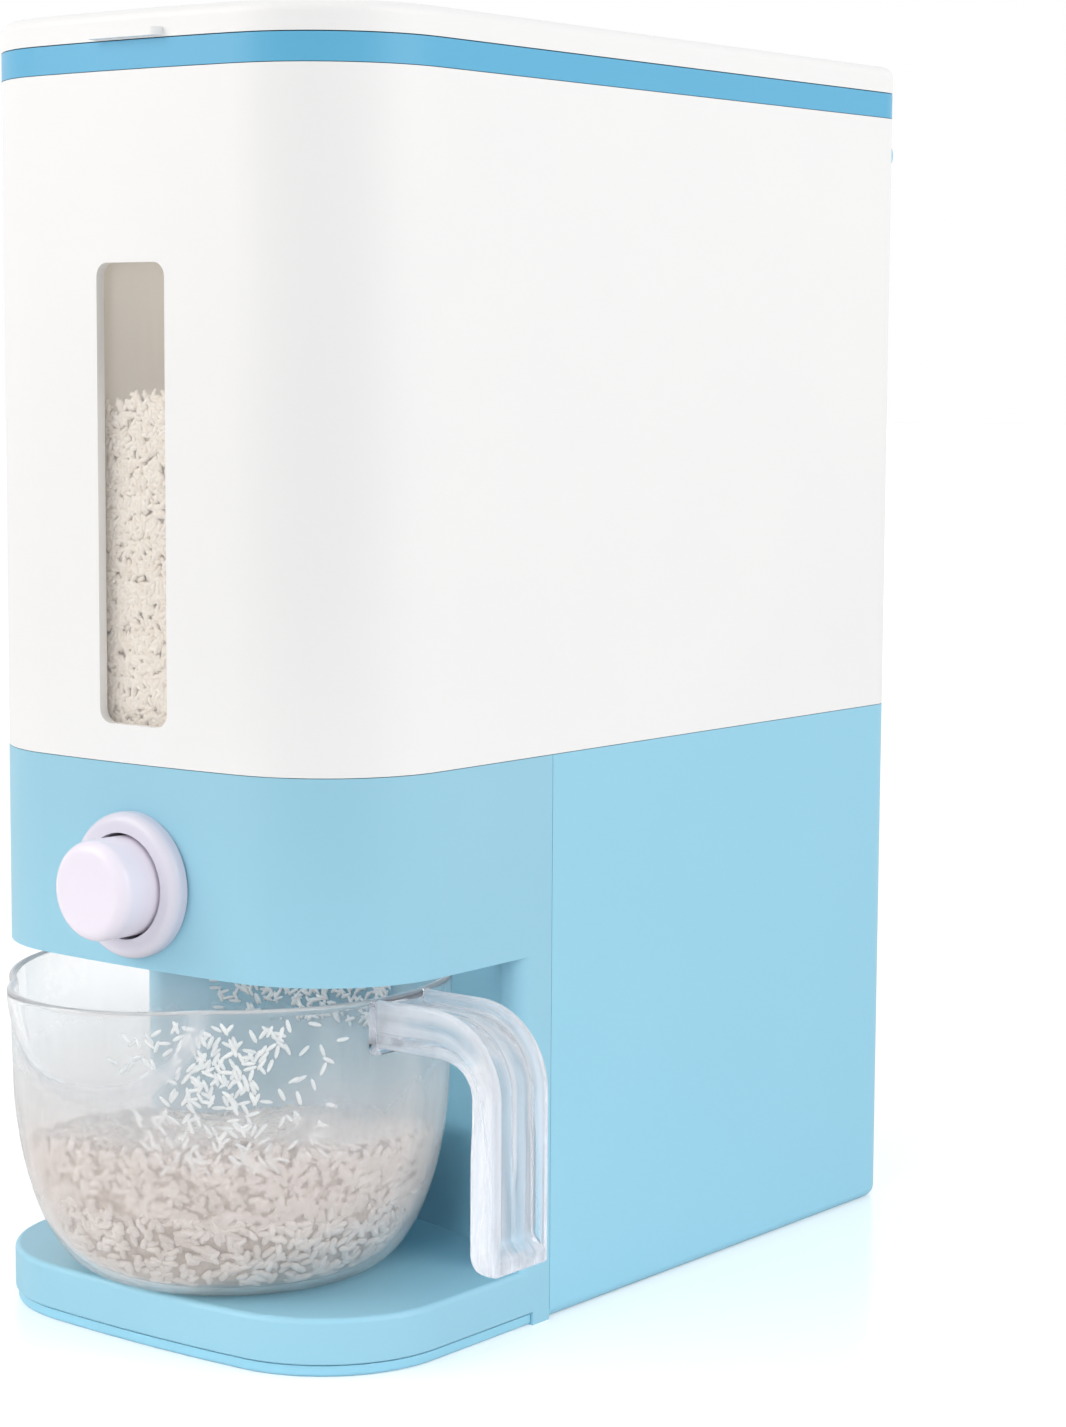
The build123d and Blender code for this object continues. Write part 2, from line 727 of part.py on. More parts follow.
def make_hinge_bracket(side):
    """Blue bracket on the back of the hopper: a plate and two round ears."""
    x0, x1 = bracket_span(side)
    z0 = hinge_z - knuckle_radius
    z1 = hinge_z + knuckle_radius
    bracket = block(x0, x1, back_y, back_y + bracket_plate, z0 - bracket_tail, z1)
    for start in (x0, x1 - ear_width):
        end = start + ear_width
        bracket += rod_x(knuckle_radius, start, end, hinge_y, hinge_z)
        bracket += block(start, end, back_y, hinge_y, z0, z1)
    reach = knuckle_radius + slide_gap
    bracket -= rod_x(reach, x0 + ear_width, x1 - ear_width, hinge_y, hinge_z)
    bracket -= rod_x(hinge_pin_radius + shaft_gap, x0 - 1, x1 + 1, hinge_y, hinge_z)
    for x in bracket_screws(side):
        bracket -= back_bar(screw_radius + seat_gap, x, back_y - 1, back_y + bracket_plate + 1)
    return bracket


def bracket_screws(side):
    """X of the two screws of one bracket."""
    x0, x1 = bracket_span(side)
    return (x0 + bracket_width / 4, x1 - bracket_width / 4)


def bracket_screw_z():
    """Height of the bracket's screws, below its knuckles."""
    return hinge_z - knuckle_radius - bracket_tail / 2


def make_hinge_screws():
    """Screws that hold both brackets to the hopper's back wall."""
    screws = []
    for side in (-1, 1):
        for x in bracket_screws(side):
            seat = back_y + bracket_plate + seat_gap / 2
            head = back_bar(screw_head_radius, x, seat, seat + screw_head_height)
            screws.append(head + back_bar(screw_radius, x, back_y - wall, seat + 1))
    return screws


def make_hinge_pin(side):
    """Steel pin through one bracket and the lid's knuckle."""
    x0, x1 = bracket_span(side)
    return rod_x(hinge_pin_radius, x0 + seat_gap, x1 - seat_gap, hinge_y, hinge_z)


# ---- Cup ----
def cup_bowl(inset):
    """Bowl without its spout: flat foot, a quarter ellipse up to the belly, slight draft to the rim."""
    foot = cup_foot_radius
    wide = cup_belly_radius - foot - inset
    belly = foot + wide
    rim = cup_rim_radius - inset
    edges = [
        Line((0, inset), (foot, inset)),
        EllipticalCenterArc((foot, cup_belly_height), wide, cup_belly_height - inset, -90, arc_size=90),
        Line((belly, cup_belly_height), (rim, cup_height)),
        Line((rim, cup_height), (0, cup_height)),
        Line((0, cup_height), (0, inset)),
    ]
    return revolve(Plane.XZ * make_face(edges), Axis.Z)


def spout_ball(inset):
    """Lower half of the ball that swells the front of the cup into a spout."""
    ball = Pos(0, -spout_reach, cup_height) * Sphere(spout_radius - inset)
    return ball & block(-far, far, -far, -spout_reach / 2, 0, cup_height)


def cup_place():
    """Where the cup stands: on the platform, in the bay."""
    return Pos(0, cup_y, platform_height + slide_gap)


def cup_outside():
    """Outer form of the bowl and its spout."""
    return cup_place() * (cup_bowl(0) + spout_ball(0))


def make_measuring_cup():
    """Clear bowl with a broad pouring spout at the front."""
    return cup_outside() - cup_place() * (cup_bowl(cup_wall) + spout_ball(cup_wall))


def handle_plan(inset, x0):
    """Side view of the handle: level arm, round bend, and a grip that hangs down."""
    top = platform_height + slide_gap + cup_height
    tip = platform_height + handle_tip
    outer = handle_reach - inset
    high = top - inset
    low = top - handle_root_height
    bend = handle_bend - inset
    inner_x = handle_reach - handle_thick
    inner_bend = handle_bend - handle_thick
    corner = cos(radians(45))
    outer_mid = (outer - bend * (1 - corner), high - bend * (1 - corner))
    inner_mid = (inner_x - inner_bend * (1 - corner), low - inner_bend * (1 - corner))
    edges = [
        Line((x0, high), (outer - bend, high)),
        ThreePointArc((outer - bend, high), outer_mid, (outer, high - bend)),
        Line((outer, high - bend), (outer, tip)),
        Line((outer, tip), (inner_x, tip)),
        Line((inner_x, tip), (inner_x, low - inner_bend)),
        ThreePointArc((inner_x, low - inner_bend), inner_mid, (inner_x - inner_bend, low)),
        Line((inner_x - inner_bend, low), (x0, low)),
        Line((x0, low), (x0, high)),
    ]
    face = make_face(edges)
    corner = face.vertices().sort_by_distance((inner_x, tip, 0))[0]
    return fillet(corner, handle_tip_round)


def handle_slab(inset, width, x0):
    """The handle's side view, given a width across."""
    slab = extrude(Plane.XZ * handle_plan(inset, x0), width / 2, both=True)
    return Pos(0, cup_y, 0) * slab


def grip_channel():
    """Channel along the handle's outer face, from the pad to its rounded end above the tip."""
    layer = handle_slab(0, handle_groove_width, cup_rim_radius + handle_pad_thick)
    layer -= handle_slab(handle_groove_depth, handle_groove_width + 1, 0)
    end_z = platform_height + handle_tip + handle_groove_end
    reach = RectangleRounded(handle_groove_width, 2 * cup_height, handle_groove_corner)
    return layer & Pos(0, cup_y, end_z + cup_height) * extrude(Plane.YZ * reach, far, both=True)


def make_cup_handle():
    """Clear grooved handle with a pad that seats on the bowl."""
    x0 = cup_rim_radius - 3 * cup_wall
    handle = handle_slab(0, handle_width, x0) - grip_channel()
    top = platform_height + slide_gap + cup_height
    pad = block(
        x0, cup_rim_radius + handle_pad_thick,
        cup_y - handle_pad_width / 2, cup_y + handle_pad_width / 2,
        top - handle_pad_height, top,
    )
    return handle + pad - cup_outside()


# ---- Write every piece ----
def solids_of(shape):
    """The shape's solids, whether it is one shape or a list of them."""
    items = shape if isinstance(shape, (list, tuple)) else [shape]
    return [solid for item in items for solid in item.solids()]


def all_pieces():
    """Every node of the dispenser by name."""
    pieces = {
        "hopper": make_hopper(),
        "window_pane": make_window_pane(),
        "hopper_funnel": make_hopper_funnel(),
        "top_ring": make_top_ring(),
        "front_housing": make_front_housing(),
        "base_shell": make_base_shell(),
        "base_plate": make_base_plate(),
        "base_screws": make_base_screws(),
        "gate_frame": make_gate_frame(),
        "gate_screws": make_gate_screws(),
        "outlet_chute": make_outlet_chute(),
        "button_flange": make_button_flange(),
        "hinge_screws": make_hinge_screws(),
        "lid": make_lid(),
        "lid_seal": make_lid_seal(),
        "button_cap": make_button_cap(),
        "push_rod": make_push_rod(),
        "retaining_clip": make_retaining_clip(),
        "rod_pin": make_rod_pin(),
        "shutter_plate": make_shutter_plate(),
        "return_spring": make_return_spring(),
        "measuring_cup": make_measuring_cup(),
        "cup_handle": make_cup_handle(),
    }
    for name, (x, y) in foot_places().items():
        pieces[name] = make_foot(x, y)
    for side, word in ((-1, "left"), (1, "right")):
        pieces[f"hinge_bracket_{word}"] = make_hinge_bracket(side)
        pieces[f"hinge_pin_{word}"] = make_hinge_pin(side)
    return pieces


for node, shape in all_pieces().items():
    solids = solids_of(shape)
    solid = solids[0] if len(solids) == 1 else Compound(solids)
    export_step(solid, f"parts/{node}.step")
    print(node, len(solids), round(sum(s.volume for s in solids)))
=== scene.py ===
"""Looks of the rice dispenser: moulded plastics, a clear cup with its grip, and the rice inside.

Lengths in the shape functions are millimetres in the part's own frame, X across the front,
-Y to the front, Z up; they turn to metres where a mesh is written.
"""

import bpy
import numpy as np
from mathutils import Matrix, Vector


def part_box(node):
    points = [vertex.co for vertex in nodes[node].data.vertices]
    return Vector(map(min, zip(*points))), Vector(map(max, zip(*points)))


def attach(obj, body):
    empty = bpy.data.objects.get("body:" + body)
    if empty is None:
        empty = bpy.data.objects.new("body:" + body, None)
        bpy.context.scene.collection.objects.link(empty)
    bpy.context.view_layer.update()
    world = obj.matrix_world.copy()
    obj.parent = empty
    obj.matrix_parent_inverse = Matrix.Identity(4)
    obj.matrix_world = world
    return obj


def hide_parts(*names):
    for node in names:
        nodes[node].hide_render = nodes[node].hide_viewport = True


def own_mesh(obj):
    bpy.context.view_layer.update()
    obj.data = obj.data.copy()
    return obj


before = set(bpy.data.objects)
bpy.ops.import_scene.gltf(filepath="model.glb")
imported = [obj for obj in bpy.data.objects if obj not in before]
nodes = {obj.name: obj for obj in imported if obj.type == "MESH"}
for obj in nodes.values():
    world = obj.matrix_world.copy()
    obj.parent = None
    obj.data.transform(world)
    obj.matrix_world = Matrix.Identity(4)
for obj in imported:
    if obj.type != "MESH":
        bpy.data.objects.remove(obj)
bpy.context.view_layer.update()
MM = 0.001

# ---- Cup: mm, after the solids, and how finely it is drawn ----
cup_y = -101.6              # axis of the bowl
cup_z = 16.8                # underside of the foot
cup_height = 85.2
foot_radius = 38.0
belly_radius = 62.5
belly_height = 60.0
rim_radius = 63.2
cup_wall = 2.2
spout_radius = 42.0
spout_reach = 29.98         # centre of the spout's ball, ahead of the axis
spout_ease = 1.6            # how far bowl and spout run into each other
cup_ring = 240              # points round the bowl
foot_rows = 6               # rings across the foot, inside and out
low_rows = 40               # rings from the foot to the belly
high_rows = 24              # rings from the belly to the rim
lip_rows = 9                # rings over the lip, its two ends among them

# ---- Grip: mm, close to the solids, and how finely it is drawn ----
grip_face = 105.9           # outer face of the handle
grip_width = 22.8
grip_thick = 10.1           # of the hanging handle
arm_thick = 13.7
arm_start = rim_radius + 0.4
grip_bend = 23.0            # radius of the bend, at the outer face
grip_tip = 31.9             # level of the handle's lower end
tip_round = 5.0
tip_edge = 0.9              # rounding of the very end
arm_rows = 12
bend_rows = 33
long_rows = 22              # down the handle
close_rows = 18             # over the last few millimetres, which start at tip_zone
tip_zone = 6.0
groove_width = 18.4
groove_depth = 3.2
groove_end = 3.6            # channel's end above the tip
groove_fade = 4.5           # height over which the channel sinks to its depth
rib_height = 0.8
rib_low = 54.0              # where the rib starts to rise from the channel
rib_fade = 6.0
rib_foot = 1.4              # half widths of the rib
rib_top = 0.6
ledge_step = 0.55           # how far the flank steps in at the ledge
ledge_drop = 0.7            # height of the step
ledge_arm = 8.2             # ledge's depth below the outer face, where the arm starts
ledge_bend = 5.8            # and where the handle starts to hang
ledge_least = 2.3           # and where it has run out
ledge_flush = 2.4           # depth up to which there is no step
ledge_slope = 0.185         # how fast it nears the face down the handle
ledge_level = 81.5          # level at which it has the bend's depth
corner_steps = 6            # points on each rounded corner of a section
edge_gaps = 4               # spaces between the points of a flat face
pad_width = 24.4
pad_height = 15.6
pad_thick = 1.6

# ---- Window, hopper and spring: mm, close to the solids ----
front_face = -141.0
front_curve = 509.3         # radius of the bowed front
pane_back = 4.3             # pane's inner face behind the front
window_low = 172.6
hopper_half_x = 74.65
hopper_half_y = 135.5
throat_top = 149.5          # where the funnel's slopes meet the throat
throat_half_x = 28.0
throat_front = -92.25
throat_back = -83.75
funnel_rise = 82.0          # of the back and side slopes
front_rise = 20.1           # of the front slope
spring_radius = 6.6
spring_wire = 1.1
spring_turns = 6            # the plain solid has 4
spring_steps = 40           # rings of wire in each turn
wire_ring = 8               # points round the wire

# ---- Rice, mm ----
rice_level = 263.5          # at the window
bed_level = 36.5            # in the cup, above its foot
bed_slope = 0.15            # how steeply the rice in the cup lies
bed_rise = (0.63, -0.78)    # direction in which it rises: to the front right
bed_edge = 57.0             # radius at which it meets the cup
grain_length = 5.6
grain_width = 2.1
grain_thick = 1.8

# ---- Milky film on the cup: heights above the foot in mm, and shares of film ----
dust_start = 14.0           # where the dust begins to settle on the wall
dust_rise = 20.0            # height over which it grows to its most
dust_edge = 52.0            # where it begins to thin
dust_fade = 27.0            # height over which it thins
film_low = 0.2              # on the lowest part of the wall
film_dusty = 0.35           # where the dust lies
film_thin = 0.07            # above it
film_foot = 0.12            # on the flat foot
lip_painted_highlight = 0.42             # on the lip: more film as a painted highlight, white where the light catches it
seam_painted_highlight = 0.4             # added where bowl and spout meet: a painted highlight along the crease
seam_spread = 1.5           # how far that spreads
clear_patch_middle = 1.1          # radians from the front, towards the grip
clear_patch_half = 0.62
clear_patch_off = 0.02            # share of film taken off in the clear patch


# ---- Meshes ----
def write_mesh(name, points, faces, body, material, tone=None):
    """A mesh of points (mm) and faces, turned outwards by the sign of the volume it encloses."""
    points = np.asarray(points, float) * MM
    mesh = bpy.data.meshes.new(name)
    mesh.from_pydata(points, [], faces)
    mesh.calc_loop_triangles()
    corners = np.empty(3 * len(mesh.loop_triangles), np.int32)
    mesh.loop_triangles.foreach_get("vertices", corners)
    a, b, c = points[corners.reshape(-1, 3)].transpose(1, 0, 2)
    if np.einsum("ij,ij->", np.cross(a, b), c) < 0:
        mesh.flip_normals()
    mesh.polygons.foreach_set("use_smooth", np.ones(len(mesh.polygons), bool))
    if tone is not None:
        layer = mesh.attributes.new("tone", "FLOAT", "POINT")
        layer.data.foreach_set("value", tone.astype(np.float32))
    mesh.materials.append(material)
    mesh.update()
    piece = bpy.data.objects.new(name, mesh)
    bpy.context.scene.collection.objects.link(piece)
    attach(piece, body)
    return piece


def tube_faces(rows, ring, poles):
    """Quads of a tube of rings, closed by its first and last points as poles, or by flat caps."""
    i = np.arange(ring)
    j = (i + 1) % ring
    first = 1 if poles else 0
    base = first + ring * np.arange(rows - 1)[:, None]
    quads = np.stack([base + i, base + j, base + ring + j, base + ring + i], axis=-1).reshape(-1, 4)
    faces = quads.tolist()
    last = first + ring * (rows - 1)
    if poles:
        end = last + ring
        faces += np.stack([np.zeros(ring, int), first + j, first + i], axis=-1).tolist()
        faces += np.stack([np.full(ring, end), last + i, last + j], axis=-1).tolist()
    else:
        faces += [i[::-1].tolist(), (last + i).tolist()]
    return faces


def eased(value, start, reach):
    """Zero up to start, one from start plus reach on, and an S between: the cubic 3t^2 - 2t^3."""
    t = np.clip((value - start) / reach, 0, 1)
    return t * t * (3 - 2 * t)


def bell(value, middle, width):
    """Bell curve, one in the middle: e to the minus square of the distance from there, in widths."""
    return np.exp(-(((value - middle) / width) ** 2))


def soft_max(a, b, reach):
    """The larger of two lengths, with a parabola where they differ by less than reach."""
    near = np.maximum(reach - np.abs(a - b), 0) / reach
    return np.maximum(a, b) + near**2 * reach / 4


# ---- Cup ----
def bowl_radius(z, inset):
    """Bowl radius at height z: quarter ellipse from the foot to the belly, then a slight draft."""
    low = np.clip((belly_height - z) / (belly_height - inset), 0, 1)
    curve = foot_radius + (belly_radius - foot_radius - inset) * np.sqrt(1 - low**2)
    draft = np.clip((z - belly_height) / (cup_height - belly_height), 0, 1)
    return curve + draft * (rim_radius - belly_radius)


def spout_swell(angle, z, inset):
    """Distance from the axis to the far side of the spout's ball, zero where the ball isn't met.

    The ball's centre lies ahead of the axis, level with the rim.
    """
    ball = (spout_radius - inset) ** 2 - (cup_height - z) ** 2
    across = ball - (spout_reach * np.sin(angle)) ** 2
    swell = spout_reach * np.cos(angle) + np.sqrt(np.maximum(across, 0))
    return np.where((across > 0) & (np.cos(angle) > 0), swell, 0)


def cup_radius(angle, z, inset):
    """Cup radius at an angle from the front: bowl or spout's ball, whichever reaches further."""
    return soft_max(bowl_radius(z, inset), spout_swell(angle, z, inset), spout_ease)


def spout_seam(angle, z):
    """One where the bowl and the spout's ball meet: a bell curve of the distance between the two."""
    return bell(bowl_radius(z, 0.0) - spout_swell(angle, z, 0.0), 0, seam_spread)


def milkiness(angle, z):
    """Share of milky film: less at the foot, most where rice dust settles, thin above.

    The dust's upper edge dips in two bell curves, and the film above it thins in a patch on the
    grip's side. Where the bowl and the spout's ball meet, more film is a painted highlight.
    """
    clear_patch = 1 / (1 + ((angle - clear_patch_middle) / clear_patch_half) ** 6)
    wide_dip = 12 * bell(angle, 0.77, 0.3)  # mm deep, middle and width in radians
    narrow_dip = 6 * bell(angle, 1.5, 0.17)
    thin = film_thin - clear_patch_off * clear_patch
    up = eased(z, dust_start, dust_rise)
    down = eased(z, dust_edge - wide_dip - narrow_dip, dust_fade)
    film = film_low + (film_dusty - film_low) * up + (thin - film_dusty) * down
    return film + seam_painted_highlight * spout_seam(angle, z)


def cup_points(angle, radius, z):
    """Points round the cup's axis, the angle counted from the front and z from the foot."""
    shape = np.broadcast(angle, radius, z).shape
    x = np.broadcast_to(radius * np.sin(angle), shape)
    y = np.broadcast_to(cup_y - radius * np.cos(angle), shape)
    return np.stack([x, y, np.broadcast_to(z + cup_z, shape)], axis=-1)


def make_cup(material):
    """Bowl carried round its axis: up the outside, over a half round lip, and down the inside."""
    angle = np.linspace(-np.pi, np.pi, cup_ring, endpoint=False)[None, :]
    turn = np.linspace(0, np.pi / 2, low_rows)
    lip_z = cup_height - cup_wall / 2
    z_low = belly_height * (1 - np.cos(turn))
    z_low_inside = cup_wall + (belly_height - cup_wall) * (1 - np.cos(turn))
    z_up = np.linspace(belly_height, lip_z, high_rows)[1:]
    z_out = np.concatenate([z_low, z_up])[:, None]
    z_in = np.concatenate([z_low_inside, z_up])[::-1, None]
    floor = np.linspace(6, foot_radius - 0.5, foot_rows)[:, None] + 0 * angle
    outer = cup_radius(angle, lip_z, 0.0)
    inner = cup_radius(angle, lip_z, cup_wall)
    roll = np.linspace(0, np.pi, lip_rows)[1:-1, None]
    lip = (outer + inner) / 2 + (outer - inner) / 2 * np.cos(roll)
    rows = [
        cup_points(angle, floor, 0.0 * floor),
        cup_points(angle, cup_radius(angle, z_out, 0.0), z_out),
        cup_points(angle, lip, lip_z + cup_wall / 2 * np.sin(roll)),
        cup_points(angle, cup_radius(angle, z_in, cup_wall), z_in),
        cup_points(angle, floor[::-1], cup_wall + 0.0 * floor),
    ]
    grid = np.concatenate(rows)
    below = [[0, cup_y, cup_z]]
    above = [[0, cup_y, cup_z + cup_wall]]
    points = np.concatenate([below, grid.reshape(-1, 3), above])
    film = [
        film_foot + 0 * floor, milkiness(angle, z_out), lip_painted_highlight + 0 * lip,
        milkiness(angle, z_in), film_foot + 0 * floor,
    ]
    film = np.concatenate([[film_foot], np.concatenate(film).ravel(), [film_foot]])
    faces = tube_faces(len(grid), cup_ring, True)
    cup = write_mesh("clear_cup", points, faces, "cup", material, film)
    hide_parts("measuring_cup")


# ---- Grip ----
def rounded_loops(corners, radii, steps):
    """Closed outlines whose corners are parabolas that start and end a radius from each corner."""
    before = np.roll(corners, 1, axis=-2) - corners
    after = np.roll(corners, -1, axis=-2) - corners
    before /= np.linalg.norm(before, axis=-1, keepdims=True)
    after /= np.linalg.norm(after, axis=-1, keepdims=True)
    t = np.linspace(0, 1, steps)[:, None]
    reach = np.asarray(radii)[:, None, None]
    bend = (1 - t) ** 2 * before[..., None, :] + t**2 * after[..., None, :]
    return (corners[..., None, :] + reach * bend).reshape(*corners.shape[:-2], -1, 2)


def grip_sections(thick, groove, ledge, rib, inset):
    """Sections of the grip: a channel with a low rib in the outer face, a faint ledge down each flank.

    Thick is the depth of the section, groove the channel's depth, and the rib stands on the channel's
    floor. The ledge is a depth below the outer face where the flank steps in; the step fades as the
    ledge nears that face. The corners follow each other down the right flank, up the left one and
    across the channel; inset draws them all in.
    """
    half = grip_width / 2 - inset
    rail = groove_width / 2 + inset
    zero = 0 * thick
    top = zero - inset
    foot = inset - thick
    floor = -groove - inset
    step = ledge_step * np.clip((ledge - ledge_flush) / 1.5, 0, 1)
    low_edge = -ledge - ledge_drop
    floor_half = rail * 0.94
    across = [
        half + zero, half + zero, half - step, half - step,
        step - half, step - half, zero - half, zero - half,
        zero - rail, zero - floor_half, zero - rib_foot, zero - rib_top,
        zero + rib_top, zero + rib_foot, zero + floor_half, zero + rail,
    ]
    depth = [
        top, -ledge, low_edge, foot, foot, low_edge, -ledge, top,
        top, floor, floor, floor + rib, floor + rib, floor, floor, top,
    ]
    corners = np.stack([np.stack(across, axis=-1), np.stack(depth, axis=-1)], axis=-1)
    # A radius for each corner, in the same order
    radii = [1.2, 0.25, 0.25, 2.6, 2.6, 0.25, 0.25, 1.2, 0.7, 0.9, 0.3, 0.3, 0.3, 0.3, 0.9, 0.7]
    return rounded_loops(corners, radii, corner_steps)


def finer_ring(loops, gaps):
    """Each loop with further points evenly on every edge, so that the film can vary on a face."""
    part = np.arange(gaps)[:, None] / gaps
    after = np.roll(loops, -1, axis=1)
    fine = loops[:, :, None] * (1 - part) + after[:, :, None] * part
    return fine.reshape(len(loops), -1, loops.shape[-1])


def grip_film_and_highlight(loops, travel, gaps):
    """Share of milky film on the grip: most on the rails, least on the flanks and in the channel.

    Each corner has a share, and the points between two corners go from one to the other; the film on
    the rails and edges is partly a painted highlight. Streaks run along the grip: three sine waves round
    the section, in millimetres, whose phase drifts with the distance travelled along it.
    """
    share = [1.0, 0.6, 0.1, 0.7, 0.7, 0.1, 0.6, 1.0, 0.9, 0.25, 0.15, 0.7, 0.7, 0.15, 0.25, 0.9]
    share = np.repeat(share, corner_steps)
    part = np.arange(gaps) / gaps
    share = (share[:, None] * (1 - part) + np.roll(share, -1)[:, None] * part).ravel()
    step = np.linalg.norm(np.diff(loops[0], axis=0, append=loops[0][:1]), axis=1)
    around = (np.cumsum(step) - step)[None, :]
    travel = travel[:, None]
    wave = np.sin(around / 0.55 + 0.05 * travel) + np.sin(around / 0.9 - 0.07 * travel + 1.3)
    wave += 1.4 * np.sin(around / 1.7 + 0.03 * travel + 2.6)
    return np.clip(0.08 + 0.5 * share[None, :] + 0.075 * wave, 0.02, 0.9).ravel()


def make_grip(material):
    """Grip section carried along a level arm, a quarter bend and a hanging handle with a rounded tip.

    Four parts follow each other: arm, bend, handle (its rows closer near the tip) and the tuck that
    rounds the very end. The path is the middle of the outer face.
    """
    top = cup_z + cup_height
    straight = grip_face - grip_bend
    upright = np.pi / 2
    arm_x = np.linspace(arm_start, straight, arm_rows)
    turn = np.linspace(0, upright, bend_rows)[1:-1]
    down_z = np.linspace(top - grip_bend, grip_tip + tip_zone + 0.2, long_rows)
    tip_z = np.linspace(tip_zone, tip_edge, close_rows) + grip_tip
    drop_z = np.concatenate([down_z, tip_z])
    ease = np.array([0.75, 0.4, 0.15, 0.0])  # heights of the last rings, in shares of tip_edge
    bend_x = straight + grip_bend * np.sin(turn)
    bend_z = top - grip_bend * (1 - np.cos(turn))
    x = np.concatenate([arm_x, bend_x, 0 * drop_z + grip_face, 0 * ease + grip_face])
    z = np.concatenate([0 * arm_x + top, bend_z, drop_z, grip_tip + tip_edge * ease])
    lean = np.concatenate([0 * arm_x, turn, 0 * drop_z + upright, 0 * ease + upright])
    share = 0.5 - 0.5 * np.cos(np.pi * np.clip(lean / upright, 0, 1))
    hanging = lean > upright - 0.01
    above = np.where(hanging, z - grip_tip, grip_bend)
    short = np.maximum(tip_round - above, 0)
    round_off = tip_round - np.sqrt(np.maximum(tip_round**2 - short**2, 0))
    thick = arm_thick + (grip_thick - arm_thick) * share - round_off
    groove = groove_depth * eased(above, groove_end, groove_fade)
    # The ledge lies deep on the arm and nears the outer face down the handle
    down_handle = ledge_bend - ledge_slope * (ledge_level - z)
    on_arm = ledge_arm - (ledge_arm - ledge_bend) * share
    ledge = np.where(hanging, np.clip(down_handle, ledge_least, 6.0), on_arm)
    ledge = np.minimum(ledge, thick - 3.2)
    rib = rib_height * np.where(hanging, np.clip((z - rib_low) / rib_fade, 0, 1), 1.0)
    loops = grip_sections(thick, groove, ledge, rib, 0.0)
    small = grip_sections(thick, groove, ledge, rib, tip_edge)
    tuck = np.concatenate([0 * arm_x, 0 * turn, 0 * drop_z, 1 - np.sqrt(1 - (1 - ease) ** 2)])
    loops = finer_ring(loops + (small - loops) * tuck[:, None, None], edge_gaps)
    # Keeps rounded corners from passing the outer face, which is the widest place of the whole
    loops[..., 1] = np.minimum(loops[..., 1], 0)
    out = np.stack([np.sin(lean), 0 * lean, np.cos(lean)], axis=-1)[:, None, :]
    path = np.stack([x, 0 * x + cup_y, z], axis=-1)
    grid = path[:, None] + out * loops[..., 1:2] + np.array([0, 1, 0]) * loops[..., 0:1]
    faces = tube_faces(len(grid), grid.shape[1], False)
    travel = np.cumsum(np.linalg.norm(np.diff(path, axis=0, prepend=path[:1]), axis=1))
    film = grip_film_and_highlight(loops, travel, edge_gaps)
    points = grid.reshape(-1, 3)
    grip = write_mesh("clear_grip", points, faces, "cup", material, film)
    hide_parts("cup_handle")


def make_grip_pad(material):
    """Curved collar where the grip meets the bowl: a rounded outline laid on the wall.

    Rings of the outline, shrunk towards its middle, rise from the wall to the collar's face and
    close again on the wall.
    """
    half = pad_width / 2
    corners = np.array([[half, 0], [half, -pad_height], [-half, -pad_height], [-half, 0]])
    rim = rounded_loops(corners, [0.6, 3.0, 3.0, 0.6], 8)
    middle = np.array([0, -pad_height / 2])
    spread = np.array([0.5, 0.9, 0.97, 1.0, 1.0, 0.5])[:, None, None]
    lift = np.array([1.0, 1.0, 0.9, 0.55, 0.05, 0.05])[:, None]  # in shares of its thickness
    flat = middle + (rim - middle) * spread
    rise = lift * pad_thick
    level = cup_height + flat[..., 1]
    radius = bowl_radius(level, 0.0) + rise
    angle = np.pi / 2 + flat[..., 0] / rim_radius
    grid = cup_points(angle, radius, level)
    faces = tube_faces(len(grid), grid.shape[1], False)
    write_mesh("grip_pad", grid.reshape(-1, 3), faces, "cup", material)


# ---- Spring ----
def make_spring(material):
    """Compression spring round the rod: a round wire carried along a helix with closed end turns.

    The button carries it; in the real dispenser it shortens towards the knob by as much as the button
    goes in.
    """
    low, high = (np.array(corner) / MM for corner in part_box("return_spring"))
    t = np.linspace(0, 1, spring_turns * spring_steps + 1)
    run = high[1] - low[1] - spring_wire
    close = 1.05 * spring_wire / run
    rise = np.interp(t, [0, 1 / spring_turns, 1 - 1 / spring_turns, 1], [0, close, 1 - close, 1])
    angle = 2 * np.pi * spring_turns * t
    out = np.stack([np.cos(angle), 0 * angle, np.sin(angle)], axis=-1)
    level = (low[2] + high[2]) / 2
    axis = np.stack([0 * rise, low[1] + spring_wire / 2 + run * rise, 0 * rise + level], axis=-1)
    line = out * spring_radius + axis
    ahead = np.gradient(line, axis=0)
    ahead /= np.linalg.norm(ahead, axis=1, keepdims=True)
    side = np.cross(ahead, out)
    turn = (np.arange(wire_ring) * 2 * np.pi / wire_ring)[:, None]
    round_wire = out[:, None] * np.cos(turn) + side[:, None] * np.sin(turn)
    grid = line[:, None] + spring_wire / 2 * round_wire
    faces = tube_faces(len(grid), len(turn), False)
    spring = write_mesh("coil_spring", grid.reshape(-1, 3), faces, "button", material)
    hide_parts("return_spring")
    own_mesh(spring)


# ---- Rice ----
def grain_shape():
    """One grain along X: three rings of six points on a blunt, slightly flat oval, and two tips."""
    along = np.array([-0.36, 0.0, 0.34])[:, None]
    girth = np.array([0.72, 1.0, 0.78])[:, None]
    angle = np.arange(6)[None, :] * np.pi / 3
    y = girth * np.cos(angle) * 0.5
    z = girth * np.sin(angle) * 0.5
    x = along + 0 * y
    ring = np.stack([x * grain_length, y * grain_width, z * grain_thick], axis=-1).reshape(-1, 3)
    back = [[-0.5 * grain_length, 0, 0]]
    front = [[0.5 * grain_length, 0, 0.1]]
    return np.concatenate([back, ring, front]), tube_faces(3, 6, True)


